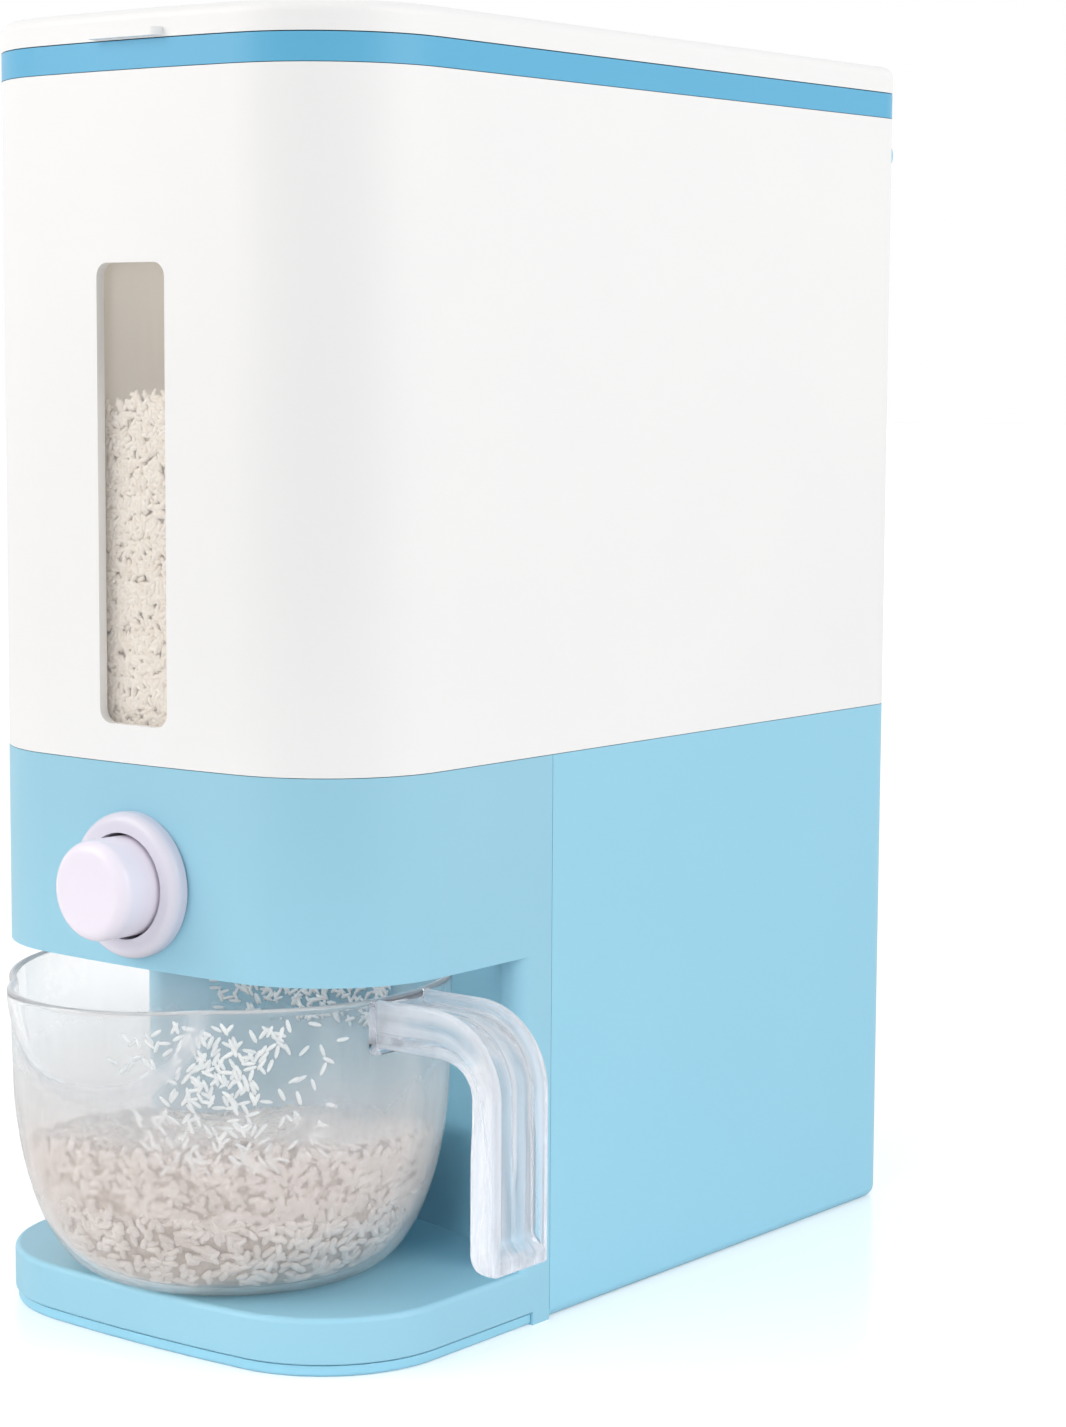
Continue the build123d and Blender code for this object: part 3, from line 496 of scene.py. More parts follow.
def scatter(name, centres, along, out, body, material, seed, size=(1, 1, 1)):
    """Many grains in one mesh: each lies at its centre with its length and its flat side as given.

    Size stretches the grain along its length, width and thickness. A random share makes each a
    little larger or smaller, and a random tone lighter or darker.
    """
    rng = np.random.default_rng(seed)
    shape, faces = grain_shape()
    shape = shape * size
    x = along / np.linalg.norm(along, axis=1, keepdims=True)
    y = np.cross(out, x)
    y /= np.linalg.norm(y, axis=1, keepdims=True)
    axes = np.stack([x, y, np.cross(x, y)], axis=1)
    share = rng.uniform(0.86, 1.08, (len(centres), 1, 1))
    points = centres[:, None, :] + np.einsum("vk,nkc->nvc", shape, axes) * share
    first = len(shape) * np.arange(len(centres))[:, None, None]
    every = []
    for count in (4, 3):  # the quads of all grains, then their triangles
        part = np.array([face for face in faces if len(face) == count])
        every += (part[None] + first).reshape(-1, count).tolist()
    tone = np.repeat(rng.random(len(centres)), len(shape))
    write_mesh(name, points.reshape(-1, 3), every, body, material, tone)


def tangled(rng, normal, tilt):
    """Random directions that lie across the given normals, tipped out of them by up to tilt."""
    free = rng.normal(size=normal.shape)
    flat = free - normal * np.einsum("ij,ij->i", free, normal)[:, None]
    flat /= np.linalg.norm(flat, axis=1, keepdims=True)
    return flat + normal * rng.uniform(-tilt, tilt, (len(normal), 1))


def window_rice(material):
    """Grains against the pane in three close layers that follow its bow.

    They reach up to the rice's level, which rises to the right by the hyperbolic tangent.
    """
    rng = np.random.default_rng(11)
    count = 4600
    half_width = 19
    layers = [1.4, 2.6, 3.7]  # mm behind the pane
    shares = [0.48, 0.32, 0.2]
    x = rng.uniform(-half_width, half_width, count)
    level = rice_level - 0.5 + 2.0 * np.tanh((x + 7) / 4.0) + rng.normal(0, 0.7, count)
    z = window_low + (level - window_low) * rng.random(count)
    depth = rng.choice(layers, count, p=shares) + rng.uniform(0, 0.4, count)
    y = front_face + pane_back + x**2 / (2 * front_curve) + depth
    normal = np.tile([0.0, -1.0, 0.0], (count, 1))
    centres = np.stack([x, y, z], axis=-1)
    small = (0.74, 0.86, 0.8)
    along = tangled(rng, normal, 0.2)
    scatter("rice_at_window", centres, along, normal, "housing", material, 12, small)


def heap(x, y):
    """Level of the stored rice: nearly flat, a little lower at the back, with shallow waves.

    The waves are the product of a sine across and a cosine along the hopper.
    """
    front_level = rice_level - 3.0
    fall = 0.02
    return front_level - fall * (y + 135) + 1.5 * np.sin(x / 17.0) * np.cos(y / 23.0)


def plan_points(rings, inset):
    """Rings of the hopper's inner outline, shrunk towards the middle.

    The outline is a squared oval: cosine and sine raised to a small power. Its corners are drawn
    in by a share of how far they lie beyond a slanted line, more at the front than at the back.
    """
    angle = np.linspace(-np.pi, np.pi, 144, endpoint=False)
    half_x = hopper_half_x - inset
    half_y = hopper_half_y - inset
    squareness = 0.16
    corner_start = 1.72
    front_pull = 0.55
    rear_pull = 0.1
    x = half_x * np.sign(np.cos(angle)) * np.abs(np.cos(angle)) ** squareness
    y = half_y * np.sign(np.sin(angle)) * np.abs(np.sin(angle)) ** squareness
    corner = np.maximum(np.abs(x) / half_x + np.abs(y) / half_y - corner_start, 0)
    pull = np.where(y < 0, 1 - front_pull * corner, 1 - rear_pull * corner)
    share = np.linspace(0.06, 1, rings)[:, None]
    return x * pull * share, y * pull * share


def stored_rice(material):
    """Rice in the hopper: its top follows the heap, its underside lies just over the funnel."""
    above_funnel = 4.0
    least_depth = 3.0
    x, y = plan_points(16, 7.5)
    top = heap(x, y)
    rear = funnel_rise * np.clip(y - throat_back, 0, None) / (hopper_half_y - throat_back)
    fore = front_rise * np.clip(throat_front - y, 0, None) / (throat_front - front_face)
    side = funnel_rise * np.clip(np.abs(x) - throat_half_x, 0, None) / (hopper_half_x - throat_half_x)
    slopes = throat_top + np.maximum.reduce([rear, fore, side])
    low = np.minimum(slopes + above_funnel, top - least_depth)
    upper = np.stack([x, y, top], axis=-1)
    lower = np.stack([x, y, low], axis=-1)[::-1]
    grid = np.concatenate([upper, lower])
    crown = [[0, 0, heap(0.0, 0.0)]]
    bottom = [[0, 0, low[0].mean()]]
    points = np.concatenate([crown, grid.reshape(-1, 3), bottom])
    faces = tube_faces(len(grid), grid.shape[1], True)
    write_mesh("rice_in_hopper", points, faces, "housing", material)


def stored_grains(material):
    """Loose grains on the heap, strewn evenly over the hopper's plan, with its corners left out."""
    rng = np.random.default_rng(21)
    count = 3400
    half_x = 69
    half_y = 129
    bend_x = 36
    bend_y = -97
    x = rng.uniform(-half_x, half_x, count)
    y = rng.uniform(-half_y, half_y, count)
    keep = (np.abs(x) < half_x - 3) | (np.abs(y) < half_y - 11)
    # The front corners are rounds of 30 mm about (bend_x, bend_y) and its mirror image
    beyond = np.hypot(np.abs(x) - bend_x, y - bend_y) > 30
    keep &= ~((y < bend_y - 3) & beyond & (np.abs(x) > bend_x))
    x, y = x[keep], y[keep]
    z = heap(x, y) + rng.uniform(0.3, 1.8, len(x))
    normal = np.tile([0.0, 0.0, 1.0], (len(x), 1))
    centres = np.stack([x, y, z], axis=-1)
    scatter("rice_on_heap", centres, tangled(rng, normal, 0.25), normal, "housing", material, 22)


def cup_heap(x, y):
    """Level of the rice in the cup, above its foot: a slope with a low mound and shallow waves."""
    slope = bed_slope * (bed_rise[0] * x + bed_rise[1] * y)
    mound = 1.5 * np.exp(-((x / 30) ** 2) - (y / 30) ** 2)
    return bed_level + slope + mound + 1.2 * np.sin(x / 9.0 + y / 13.0)


def cup_rice(material):
    """Rice bed in the cup: out over the foot, up just inside the wall, then in over the top."""
    ring = 120
    floor = cup_wall + 1.2
    gap = 1.9  # between the bed and the wall, where the grains lie
    angle = np.linspace(-np.pi, np.pi, ring, endpoint=False)[None, :]
    rise = np.linspace(0.02, 1, 18)[:, None]
    edge = cup_heap(bed_edge * np.sin(angle), -bed_edge * np.cos(angle))
    level = floor + (edge - floor) * rise
    side = bowl_radius(level, cup_wall) - gap
    radius = side[-1:] * np.linspace(1, 0.05, 14)[1:, None]
    top = cup_heap(radius * np.sin(angle), -radius * np.cos(angle))
    foot = np.linspace(0.1, 1, 5)[:-1, None] * side[:1]
    rows = [
        cup_points(angle, foot, level[:1] + 0 * foot),
        cup_points(angle, side, level),
        cup_points(angle, radius, top),
    ]
    grid = np.concatenate(rows)
    bottom = grid[0].mean(axis=0, keepdims=True)
    crown = grid[-1].mean(axis=0, keepdims=True)
    points = np.concatenate([bottom, grid.reshape(-1, 3), crown])
    faces = tube_faces(len(grid), ring, True)
    write_mesh("rice_in_cup", points, faces, "cup", material)


def cup_wall_grains(material):
    """Grains that lie flat on the inside of the cup's wall in two layers, up to the bed's edge."""
    rng = np.random.default_rng(31)
    count = 4200
    angle = rng.uniform(-np.pi, np.pi, count)
    reach = bed_edge + 1
    outer_share = 0.65
    outer_gap = 1.05
    inner_gap = 2.1
    edge = cup_heap(reach * np.sin(angle), -reach * np.cos(angle))
    level = cup_wall + 0.8 + (edge - 0.5 - cup_wall) * rng.random(count) ** 0.85
    outer = rng.random(count) < outer_share
    gap = np.where(outer, outer_gap, inner_gap) + rng.uniform(0, 0.35, count)
    slope = np.clip((belly_height - level) / (belly_height - cup_wall), 0, 0.995)
    radius = bowl_radius(level, cup_wall) - gap
    centres = cup_points(angle, radius, level + gap * slope * 0.6)
    out = np.stack([np.sin(angle), -np.cos(angle), -slope / np.sqrt(1 - slope**2) * 0.4], axis=-1)
    out /= np.linalg.norm(out, axis=1, keepdims=True)
    plump = (0.85, 1.12, 0.9)
    scatter("rice_at_cup_wall", centres, tangled(rng, out, 0.1), out, "cup", material, 32, plump)


def cup_top_grains(material):
    """Grains strewn evenly over the rice in the cup: their radius is the root of a random share."""
    rng = np.random.default_rng(41)
    count = 3400
    angle = rng.uniform(-np.pi, np.pi, count)
    radius = (bed_edge - 1.6) * np.sqrt(rng.random(count))
    x = radius * np.sin(angle)
    y = -radius * np.cos(angle)
    centres = cup_points(angle, radius, cup_heap(x, y) + rng.uniform(0.2, 2.2, count))
    normal = np.tile([0.0, 0.0, 1.0], (count, 1))
    scatter("rice_on_mound", centres, tangled(rng, normal, 0.35), normal, "cup", material, 42)


def clinging_grains(material):
    """Grains that cling to the cup's wall: high on the far side, and down to the bed on the near one."""
    rng = np.random.default_rng(51)
    count = 560
    far_count = 300
    far_from, far_to = -188, -132  # degrees from the front
    near_middle, near_spread = 41, 12
    far = np.arange(count) < far_count
    far_turn = rng.uniform(far_from, far_to, count)
    angle = np.radians(np.where(far, far_turn, rng.normal(near_middle, near_spread, count)))
    share = rng.random(count)
    far_drop = 2.5 + 24.0 * share
    near_drop = 5.0 + 40.0 * share**1.1
    level = cup_height - np.where(far, far_drop, near_drop)
    radius = bowl_radius(level, cup_wall) - grain_thick * 0.42
    centres = cup_points(angle, radius, level)
    out = np.stack([np.sin(angle), -np.cos(angle), 0 * angle], axis=-1)
    down = np.stack([np.cos(angle), np.sin(angle), rng.normal(0, 1.8, count)], axis=-1)
    slim = (0.74, 0.6, 0.6)
    scatter("rice_clinging", centres, down, out, "cup", material, 52, slim)


# ---- Materials ----
def linear(code):
    """Linear colour of an sRGB hex value."""
    value = np.array([int(code[i : i + 2], 16) for i in (1, 3, 5)]) / 255
    value = np.where(value <= 0.04045, value / 12.92, ((value + 0.055) / 1.055) ** 2.4)
    return (*value.tolist(), 1.0)


def add(tree, kind, inputs=None, **settings):
    """Adds a node with its settings; an input is a value or another node's output."""
    node = tree.nodes.new(kind)
    for key, value in settings.items():
        setattr(node, key, value)
    for key, value in (inputs or {}).items():
        if isinstance(value, bpy.types.NodeSocket):
            tree.links.new(value, node.inputs[key])
        else:
            node.inputs[key].default_value = value
    return node


def new_material(name):
    """An empty node material and its tree."""
    material = bpy.data.materials.new(name)
    material.use_nodes = True
    material.node_tree.nodes.clear()
    return material, material.node_tree


def per_metre(size):
    """Pattern scale for features of a real size in millimetres."""
    return 1000.0 / size


def moulded(name, light, dark, rough):
    """Injection-moulded ABS: a colour with a faint, wide cloud in it, and the mould's fine peel."""
    cloud_size = 70  # mm across, as the melt spreads in the mould
    peel_size = 1.8  # real peel is finer; drawn this coarse so that it still breaks up a reflection
    material, tree = new_material(name)
    place = add(tree, "ShaderNodeTexCoord").outputs["Object"]
    cloud = add(
        tree, "ShaderNodeTexNoise",
        {"Vector": place, "Scale": per_metre(cloud_size), "Detail": 2.0},
    )
    colour = add(
        tree, "ShaderNodeMix",
        {0: cloud.outputs["Fac"], 6: linear(dark), 7: linear(light)}, data_type="RGBA",
    )
    sheen = add(
        tree, "ShaderNodeMapRange",
        {"Value": cloud.outputs["Fac"], "To Min": rough - 0.03, "To Max": rough + 0.03},
    )
    grain = add(
        tree, "ShaderNodeTexNoise",
        {"Vector": place, "Scale": per_metre(peel_size), "Detail": 3.0},
    )
    bump = add(
        tree, "ShaderNodeBump",
        {"Height": grain.outputs["Fac"], "Strength": 0.012, "Distance": peel_size * MM},
    )
    shader = add(
        tree, "ShaderNodeBsdfPrincipled",
        {
            "Base Color": colour.outputs[2], "Roughness": sheen.outputs["Result"],
            "Normal": bump.outputs["Normal"], "IOR": 1.53,
        },
    )
    add(tree, "ShaderNodeOutputMaterial", {"Surface": shader.outputs["BSDF"]})
    return material


def clear(name, tint, rough, film, dust, ior=1.5):
    """Clear moulded plastic under a milky film: glass mixed with a skin that lets light through.

    The mesh's tone gives the film's share, and film adds to it. It lies in streaks that run down
    the wall, of the dust's colour low down and neutral further up. Shadows pass through.
    """
    ripple_size = 22  # mm, slow ripples where the melt flowed
    streak_width = 7  # mm, streaks left by dust and a wiping cloth
    streak_length = 40
    dusty_level = 55  # mm above the ground, below which the film has the dust's colour
    clean_level = 90
    material, tree = new_material(name)
    place = add(tree, "ShaderNodeTexCoord").outputs["Object"]
    wave = add(
        tree, "ShaderNodeTexNoise",
        {"Vector": place, "Scale": per_metre(ripple_size), "Detail": 1.0},
    )
    bump = add(
        tree, "ShaderNodeBump",
        {"Height": wave.outputs["Fac"], "Strength": 0.005, "Distance": 4 * MM},
    )
    glass = add(
        tree, "ShaderNodeBsdfPrincipled",
        {
            "Base Color": linear(tint), "Roughness": rough, "IOR": ior,
            "Transmission Weight": 1.0, "Normal": bump.outputs["Normal"],
        },
    )
    height = add(tree, "ShaderNodeSeparateXYZ", {0: place})
    rise = add(
        tree, "ShaderNodeMapRange",
        {"Value": height.outputs["Z"], "From Min": dusty_level * MM, "From Max": clean_level * MM},
        interpolation_type="SMOOTHSTEP",
    )
    tinge = add(
        tree, "ShaderNodeMix",
        {0: rise.outputs[0], 6: linear(dust), 7: linear("#F2F2F5")}, data_type="RGBA",
    )
    skin = add(tree, "ShaderNodeBsdfPrincipled", {"Base Color": tinge.outputs[2], "Roughness": 0.35})
    glow = add(tree, "ShaderNodeBsdfTranslucent", {"Color": tinge.outputs[2]})
    milk = add(
        tree, "ShaderNodeMixShader",
        {0: 0.5, 1: skin.outputs["BSDF"], 2: glow.outputs["BSDF"]},
    )
    stretch = (per_metre(streak_width), per_metre(streak_width), per_metre(streak_length))
    tall = add(tree, "ShaderNodeMapping", {"Vector": place, "Scale": stretch})
    streak = add(
        tree, "ShaderNodeTexNoise",
        {"Vector": tall.outputs["Vector"], "Scale": 1.0, "Detail": 3.0},
    )
    uneven = add(
        tree, "ShaderNodeMapRange",
        {"Value": streak.outputs["Fac"], "To Min": 0.68, "To Max": 1.32},
    )
    tone = add(tree, "ShaderNodeAttribute", attribute_name="tone")
    share = add(tree, "ShaderNodeMath", {0: tone.outputs["Fac"], 1: film}, operation="ADD")
    density = add(
        tree, "ShaderNodeMath",
        {0: share.outputs[0], 1: uneven.outputs[0]}, operation="MULTIPLY", use_clamp=True,
    )
    wall = add(
        tree, "ShaderNodeMixShader",
        {0: density.outputs[0], 1: glass.outputs["BSDF"], 2: milk.outputs[0]},
    )
    through = add(tree, "ShaderNodeBsdfTransparent", {"Color": linear(tint)})
    path = add(tree, "ShaderNodeLightPath")
    either = add(
        tree, "ShaderNodeMath",
        {0: path.outputs["Is Shadow Ray"], 1: path.outputs["Is Diffuse Ray"]}, operation="MAXIMUM",
    )
    mix = add(
        tree, "ShaderNodeMixShader",
        {0: either.outputs[0], 1: wall.outputs["Shader"], 2: through.outputs["BSDF"]},
    )
    add(tree, "ShaderNodeOutputMaterial", {"Surface": mix.outputs["Shader"]})
    return material


def steel_finish():
    """Zinc-plated steel: grey metal with a fine drawn streak, seen on pins and screw heads."""
    streak_length = 6
    streak_width = 0.6  # real drawing marks are finer; drawn this coarse so that they show
    material, tree = new_material("zinc_plated_steel")
    place = add(tree, "ShaderNodeTexCoord").outputs["Object"]
    stretch = (per_metre(streak_length), per_metre(streak_width), per_metre(streak_width))
    streak = add(tree, "ShaderNodeMapping", {"Vector": place, "Scale": stretch})
    drawn = add(
        tree, "ShaderNodeTexNoise",
        {"Vector": streak.outputs["Vector"], "Scale": 1.0, "Detail": 2.0},
    )
    rough = add(
        tree, "ShaderNodeMapRange",
        {"Value": drawn.outputs["Fac"], "To Min": 0.26, "To Max": 0.44},
    )
    shader = add(
        tree, "ShaderNodeBsdfPrincipled",
        {"Base Color": linear("#B9BBBD"), "Metallic": 1.0, "Roughness": rough.outputs["Result"]},
    )
    add(tree, "ShaderNodeOutputMaterial", {"Surface": shader.outputs["BSDF"]})
    return material


def rubber_finish(name, code):
    """Moulded rubber: dark and matt, with a fine pitted skin that kills the highlight."""
    pit_size = 0.9  # real pits are finer; drawn this coarse so that they show
    material, tree = new_material(name)
    place = add(tree, "ShaderNodeTexCoord").outputs["Object"]
    pits = add(
        tree, "ShaderNodeTexNoise",
        {"Vector": place, "Scale": per_metre(pit_size), "Detail": 3.0},
    )
    bump = add(
        tree, "ShaderNodeBump",
        {"Height": pits.outputs["Fac"], "Strength": 0.2, "Distance": 0.4 * MM},
    )
    rough = add(
        tree, "ShaderNodeMapRange",
        {"Value": pits.outputs["Fac"], "To Min": 0.7, "To Max": 0.9},
    )
    shader = add(
        tree, "ShaderNodeBsdfPrincipled",
        {
            "Base Color": linear(code), "Roughness": rough.outputs["Result"],
            "Normal": bump.outputs["Normal"],
        },
    )
    add(tree, "ShaderNodeOutputMaterial", {"Surface": shader.outputs["BSDF"]})
    return material


def rice_finish(name, dark, light):
    """Polished short rice: slightly waxy, each grain lighter or darker than the next by its tone."""
    material, tree = new_material(name)
    tone = add(tree, "ShaderNodeAttribute", attribute_name="tone")
    colour = add(
        tree, "ShaderNodeMix",
        {0: tone.outputs["Fac"], 6: linear(dark), 7: linear(light)}, data_type="RGBA",
    )
    shader = add(
        tree, "ShaderNodeBsdfPrincipled",
        {"Base Color": colour.outputs[2], "Roughness": 0.42, "IOR": 1.5, "Specular IOR Level": 0.4},
    )
    add(tree, "ShaderNodeOutputMaterial", {"Surface": shader.outputs["BSDF"]})
    return material


def rice_bed_finish(name, light, dark):
    """Rice packed below the top grains: pale humps with darker gaps between them."""
    cell_size = 3.6  # mm, between a grain's width and its length
    material, tree = new_material(name)
    place = add(tree, "ShaderNodeTexCoord").outputs["Object"]
    cells = add(tree, "ShaderNodeTexVoronoi", {"Vector": place, "Scale": per_metre(cell_size)})
    # Painted shade: the gaps between the humps are darker
    colour = add(
        tree, "ShaderNodeMix",
        {0: cells.outputs["Distance"], 6: linear(light), 7: linear(dark)}, data_type="RGBA",
    )
    bump = add(
        tree, "ShaderNodeBump",
        {"Height": cells.outputs["Distance"], "Strength": 0.8, "Distance": 1.5 * MM}, invert=True,
    )
    shader = add(
        tree, "ShaderNodeBsdfPrincipled",
        {"Base Color": colour.outputs[2], "Roughness": 0.6, "Normal": bump.outputs["Normal"]},
    )
    add(tree, "ShaderNodeOutputMaterial", {"Surface": shader.outputs["BSDF"]})
    return material


# ---- Stage ----
def make_floor():
    """Flat pale disc, metres: rings round the origin, closed by a fan in the middle.

    It keeps the dispenser's shadow and a weak reflection. A little glow of its own, for the camera
    and for rays through clear plastic, makes it white there.
    """
    glow = 0.26
    spokes = 96
    angle = np.linspace(0, 2 * np.pi, spokes, endpoint=False)[None, :]
    radius = np.array([0.2, 0.6, 1.5, 4.0, 12.0])[:, None]
    grid = np.stack([radius * np.cos(angle), radius * np.sin(angle), 0 * radius * angle], axis=-1)
    points = np.concatenate([grid.reshape(-1, 3), [[0, 0, 0]]])
    i = np.arange(spokes)
    j = (i + 1) % spokes
    base = spokes * np.arange(len(radius) - 1)[:, None]
    quads = np.stack([base + i, base + spokes + i, base + spokes + j, base + j], axis=-1)
    fan = np.stack([np.full(spokes, len(points) - 1), i, j], axis=-1)
    mesh = bpy.data.meshes.new("floor")
    mesh.from_pydata(points, [], quads.reshape(-1, 4).tolist() + fan.tolist())
    material, tree = new_material("pale_floor")
    matt = add(
        tree, "ShaderNodeBsdfPrincipled",
        {"Base Color": linear("#F4F4F4"), "Roughness": 0.16, "Specular IOR Level": 0.4},
    )
    path = add(tree, "ShaderNodeLightPath")
    seen = add(
        tree, "ShaderNodeMath",
        {0: path.outputs["Is Camera Ray"], 1: path.outputs["Is Transmission Ray"]},
        operation="MAXIMUM",
    )
    seen = add(tree, "ShaderNodeMath", {0: seen.outputs[0], 1: glow}, operation="MULTIPLY")
    lift = add(tree, "ShaderNodeEmission", {"Color": (1, 1, 1, 1), "Strength": seen.outputs[0]})
    both = add(tree, "ShaderNodeAddShader", {0: matt.outputs["BSDF"], 1: lift.outputs["Emission"]})
    add(tree, "ShaderNodeOutputMaterial", {"Surface": both.outputs["Shader"]})
    mesh.materials.append(material)
    floor = bpy.data.objects.new("floor", mesh)
    bpy.context.scene.collection.objects.link(floor)


def make_world():
    """Even studio air: white where it is seen or mirrored, softer where it lights the object."""
    cool_white = (0.93, 0.955, 0.99, 1)
    world = bpy.data.worlds.new("studio_air")
    world.use_nodes = True
    tree = world.node_tree
    tree.nodes.clear()
    path = add(tree, "ShaderNodeLightPath")
    seen = add(
        tree, "ShaderNodeMath",
        {0: path.outputs["Is Camera Ray"], 1: path.outputs["Is Glossy Ray"]}, operation="MAXIMUM",
    )
    seen = add(
        tree, "ShaderNodeMath",
        {0: seen.outputs[0], 1: path.outputs["Is Transmission Ray"]}, operation="MAXIMUM",
    )
    soft = add(tree, "ShaderNodeBackground", {"Color": cool_white, "Strength": 0.64})
    white = add(tree, "ShaderNodeBackground", {"Color": (1, 1, 1, 1), "Strength": 1.0})
    mix = add(
        tree, "ShaderNodeMixShader",
        {0: seen.outputs[0], 1: soft.outputs[0], 2: white.outputs[0]},
    )
    add(tree, "ShaderNodeOutputWorld", {"Surface": mix.outputs["Shader"]})
    bpy.context.scene.world = world


def softbox(name, place, aim, width, height, power, code="#FFFFFF"):
    """Rectangular studio lamp at a place, turned to a point, metres and watts."""
    lamp = bpy.data.lights.new(name, "AREA")
    lamp.shape = "RECTANGLE"
    lamp.size = width
    lamp.size_y = height
    lamp.energy = power
    lamp.color = linear(code)[:3]
    box = bpy.data.objects.new(name, lamp)
    box.location = place
    box.rotation_euler = (Vector(aim) - Vector(place)).to_track_quat("-Z", "Y").to_euler()
    box.visible_camera = False
    box.visible_transmission = False
    bpy.context.scene.collection.objects.link(box)
    return box


def make_camera():
    """The photograph's camera: place, line of sight, a small roll, a long lens and film 36 mm high."""
    place = (0.627931, -0.773573, 0.277604)
    ahead = Vector((-0.607961, 0.786197, -0.110806)).normalized()
    roll = np.radians(0.342)
    right = ahead.cross(Vector((0, 0, 1))).normalized()
    right = Matrix.Rotation(roll, 3, -ahead) @ right
    up = right.cross(ahead)
    axes = Matrix((right, up, -ahead)).transposed().to_4x4()
    camera = bpy.data.objects.new("camera", bpy.data.cameras.new("camera"))
    camera.data.lens = 81.86
    camera.data.sensor_width = 36.0
    camera.matrix_world = Matrix.Translation(place) @ axes
    bpy.context.scene.collection.objects.link(camera)
    bpy.context.scene.camera = camera


# ---- Finishes ----
# Hopper, lid and inner mouldings: ABS from a fine-blasted mould, white with a wide, soft sheen
white_abs = moulded("white_abs_satin", "#F7F7F6", "#F3F3F3", 0.42)
# Knob: ABS from a polished mould, a lilac white whose round edge catches a tight highlight
knob_abs = moulded("white_abs_polished", "#F2EBF7", "#EEE8F5", 0.24)
# Collar: the same polish, a little greyer as painted shade, so that the knob stands out from it
shaded_collar_abs = moulded("white_abs_polished_painted_shade", "#E3E0EC", "#DFDCE9", 0.26)
# Base shell, base plate and hinge brackets: satin ABS, an even light sky blue
sky_abs = moulded("sky_blue_abs_satin", "#9BD6ED", "#97D3EA", 0.4)
# Front housing: the same satin ABS as the shell behind the seam, a touch greyer as painted shade that
# tones down its well-lit front
hood_abs_painted_shade = moulded("sky_blue_abs_satin_painted_shade", "#9CD1E6", "#97CDE2", 0.4)
# Ring under the lid: a deeper blue and slightly glossier, a clear line between two whites
ring_abs = moulded("deep_sky_abs_satin", "#5EB5DC", "#5AB1D9", 0.36)
# Cup: polystyrene from a mirror-polished mould, clear at the rim and milky with rice dust lower down;
# more film on the lip and along the spout's seam is painted highlight
cup_ps = clear("clear_polystyrene_bowl", "#FCFDFD", 0.0, 0.0, "#ECE1DC")
# Grip's film is partly a milky haze and partly a painted highlight, whitest on its rails and edges
# Grip: thick polystyrene, bright rails and cool streaks over a see-through body; its index, under
# the real 1.59, is matched
grip_ps = clear("clear_polystyrene_grip", "#FAFBFE", 0.02, 0.0, "#F5F6FC", ior=1.42)
# Window: a clear strip, slightly hazed all over, which softens the rice behind it
pane_ps = clear("clear_window_strip", "#FDFCFB", 0.05, 0.12, "#F2F2F5")
# Pins, screws, clip and spring: zinc-plated steel, a grey glint in the joints
steel = steel_finish()
# Feet: moulded rubber, a dull mid grey that takes no highlight
foot_rubber = rubber_finish("grey_rubber", "#5A5F63")
# Lid's seal: moulded silicone, a thin dark line between lid and ring
seal_rubber = rubber_finish("dark_silicone_seal", "#3C4650")
# Grains: ivory in the hopper, warmer at the window as painted warm light, grey white where they cling,
# and pinkish grey in the cup as painted shade; the beds below them are deeper, with painted shade in
# their gaps
rice = rice_finish("polished_rice", "#F5EDE0", "#FEFBF4")
window_grain_painted_light = rice_finish("polished_rice_at_window_painted_light", "#F4EADC", "#FCF7EE")
clinging_grain = rice_finish("polished_rice_clinging", "#E2E4E6", "#F4F4F3")
cup_rice_grain_painted_shade = rice_finish("polished_rice_in_cup_painted_shade", "#CDC2BC", "#E6DEDA")
rice_bed = rice_bed_finish("packed_rice", "#F3ECE2", "#C9BBAD")
cup_bed_painted_shade = rice_bed_finish("packed_rice_in_cup_painted_shade", "#BFB2A9", "#8E8075")

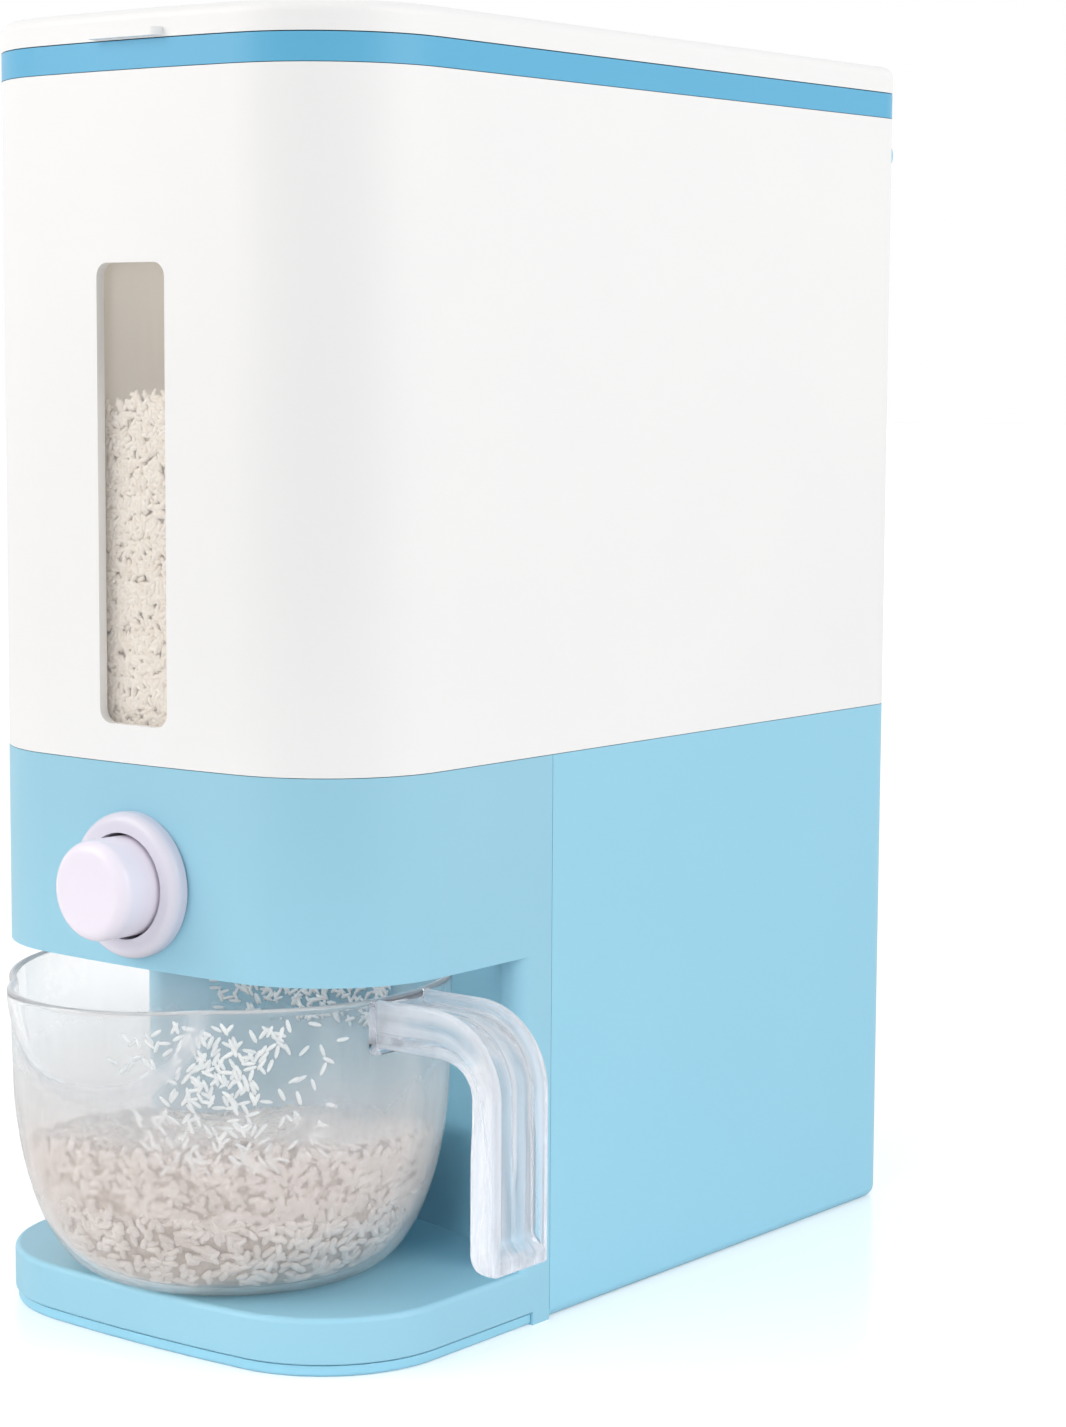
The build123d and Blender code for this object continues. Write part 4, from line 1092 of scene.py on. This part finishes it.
finishes = {
    white_abs: [
        "hopper", "hopper_funnel", "lid", "gate_frame", "outlet_chute", "shutter_plate", "push_rod",
    ],
    knob_abs: ["button_cap"],
    shaded_collar_abs: ["button_flange"],
    hood_abs_painted_shade: ["front_housing"],
    sky_abs: ["base_shell", "base_plate", "hinge_bracket_left", "hinge_bracket_right"],
    ring_abs: ["top_ring"],
    cup_ps: ["measuring_cup"],
    grip_ps: ["cup_handle"],
    pane_ps: ["window_pane"],
    steel: [
        "base_screws", "gate_screws", "hinge_screws", "hinge_pin_left", "hinge_pin_right",
        "retaining_clip", "rod_pin", "return_spring",
    ],
    foot_rubber: ["foot_front_left", "foot_front_right", "foot_rear_left", "foot_rear_right"],
    seal_rubber: ["lid_seal"],
}
for finish, names in finishes.items():
    for name in names:
        slots = nodes[name].data.materials
        slots.clear()
        slots.append(finish)

# ---- Camera, floor and lamps ----
make_camera()
make_floor()
make_world()
# Large warm-white box ahead on the left: shapes the front and the rounded corner
softbox("key", (-0.8, -1.2, 0.95), (0, 0, 0.25), 1.1, 1.1, 10.6, "#FFF9F2")
# Large box on the right: lights the long side evenly
softbox("side_fill", (2.1, 0.4, 1.3), (0, 0, 0.2), 1.6, 1.6, 22.5, "#FFFAF5")
# Low narrow strip: opens the shade on the platform's front and leaves no mirror image
low_fill = softbox("low_fill", (0.25, -0.85, 0.28), (0.02, -0.1, 0.0), 0.4, 0.14, 0.06)
low_fill.data.spread = np.radians(24)
low_fill.visible_glossy = False
# Light that the hopper's thin walls let in, and light that the bay's ceiling hands down
softbox("inside_glow", (0, 0, 0.33), (0, -0.05, 0.2), 0.1, 0.18, 0.06, "#FFF3E2")
softbox("bay_glow", (0.01, -0.065, 0.1065), (0.01, -0.065, 0.02), 0.09, 0.08, 0.014)

# ---- Pieces ----
make_cup(cup_ps)
make_grip(grip_ps)
make_grip_pad(grip_ps)
make_spring(steel)
window_rice(window_grain_painted_light)
stored_rice(rice_bed)
stored_grains(rice)
cup_rice(cup_bed_painted_shade)
cup_wall_grains(cup_rice_grain_painted_shade)
cup_top_grains(cup_rice_grain_painted_shade)
clinging_grains(clinging_grain)

scene = bpy.context.scene
scene.view_settings.view_transform = "Standard"
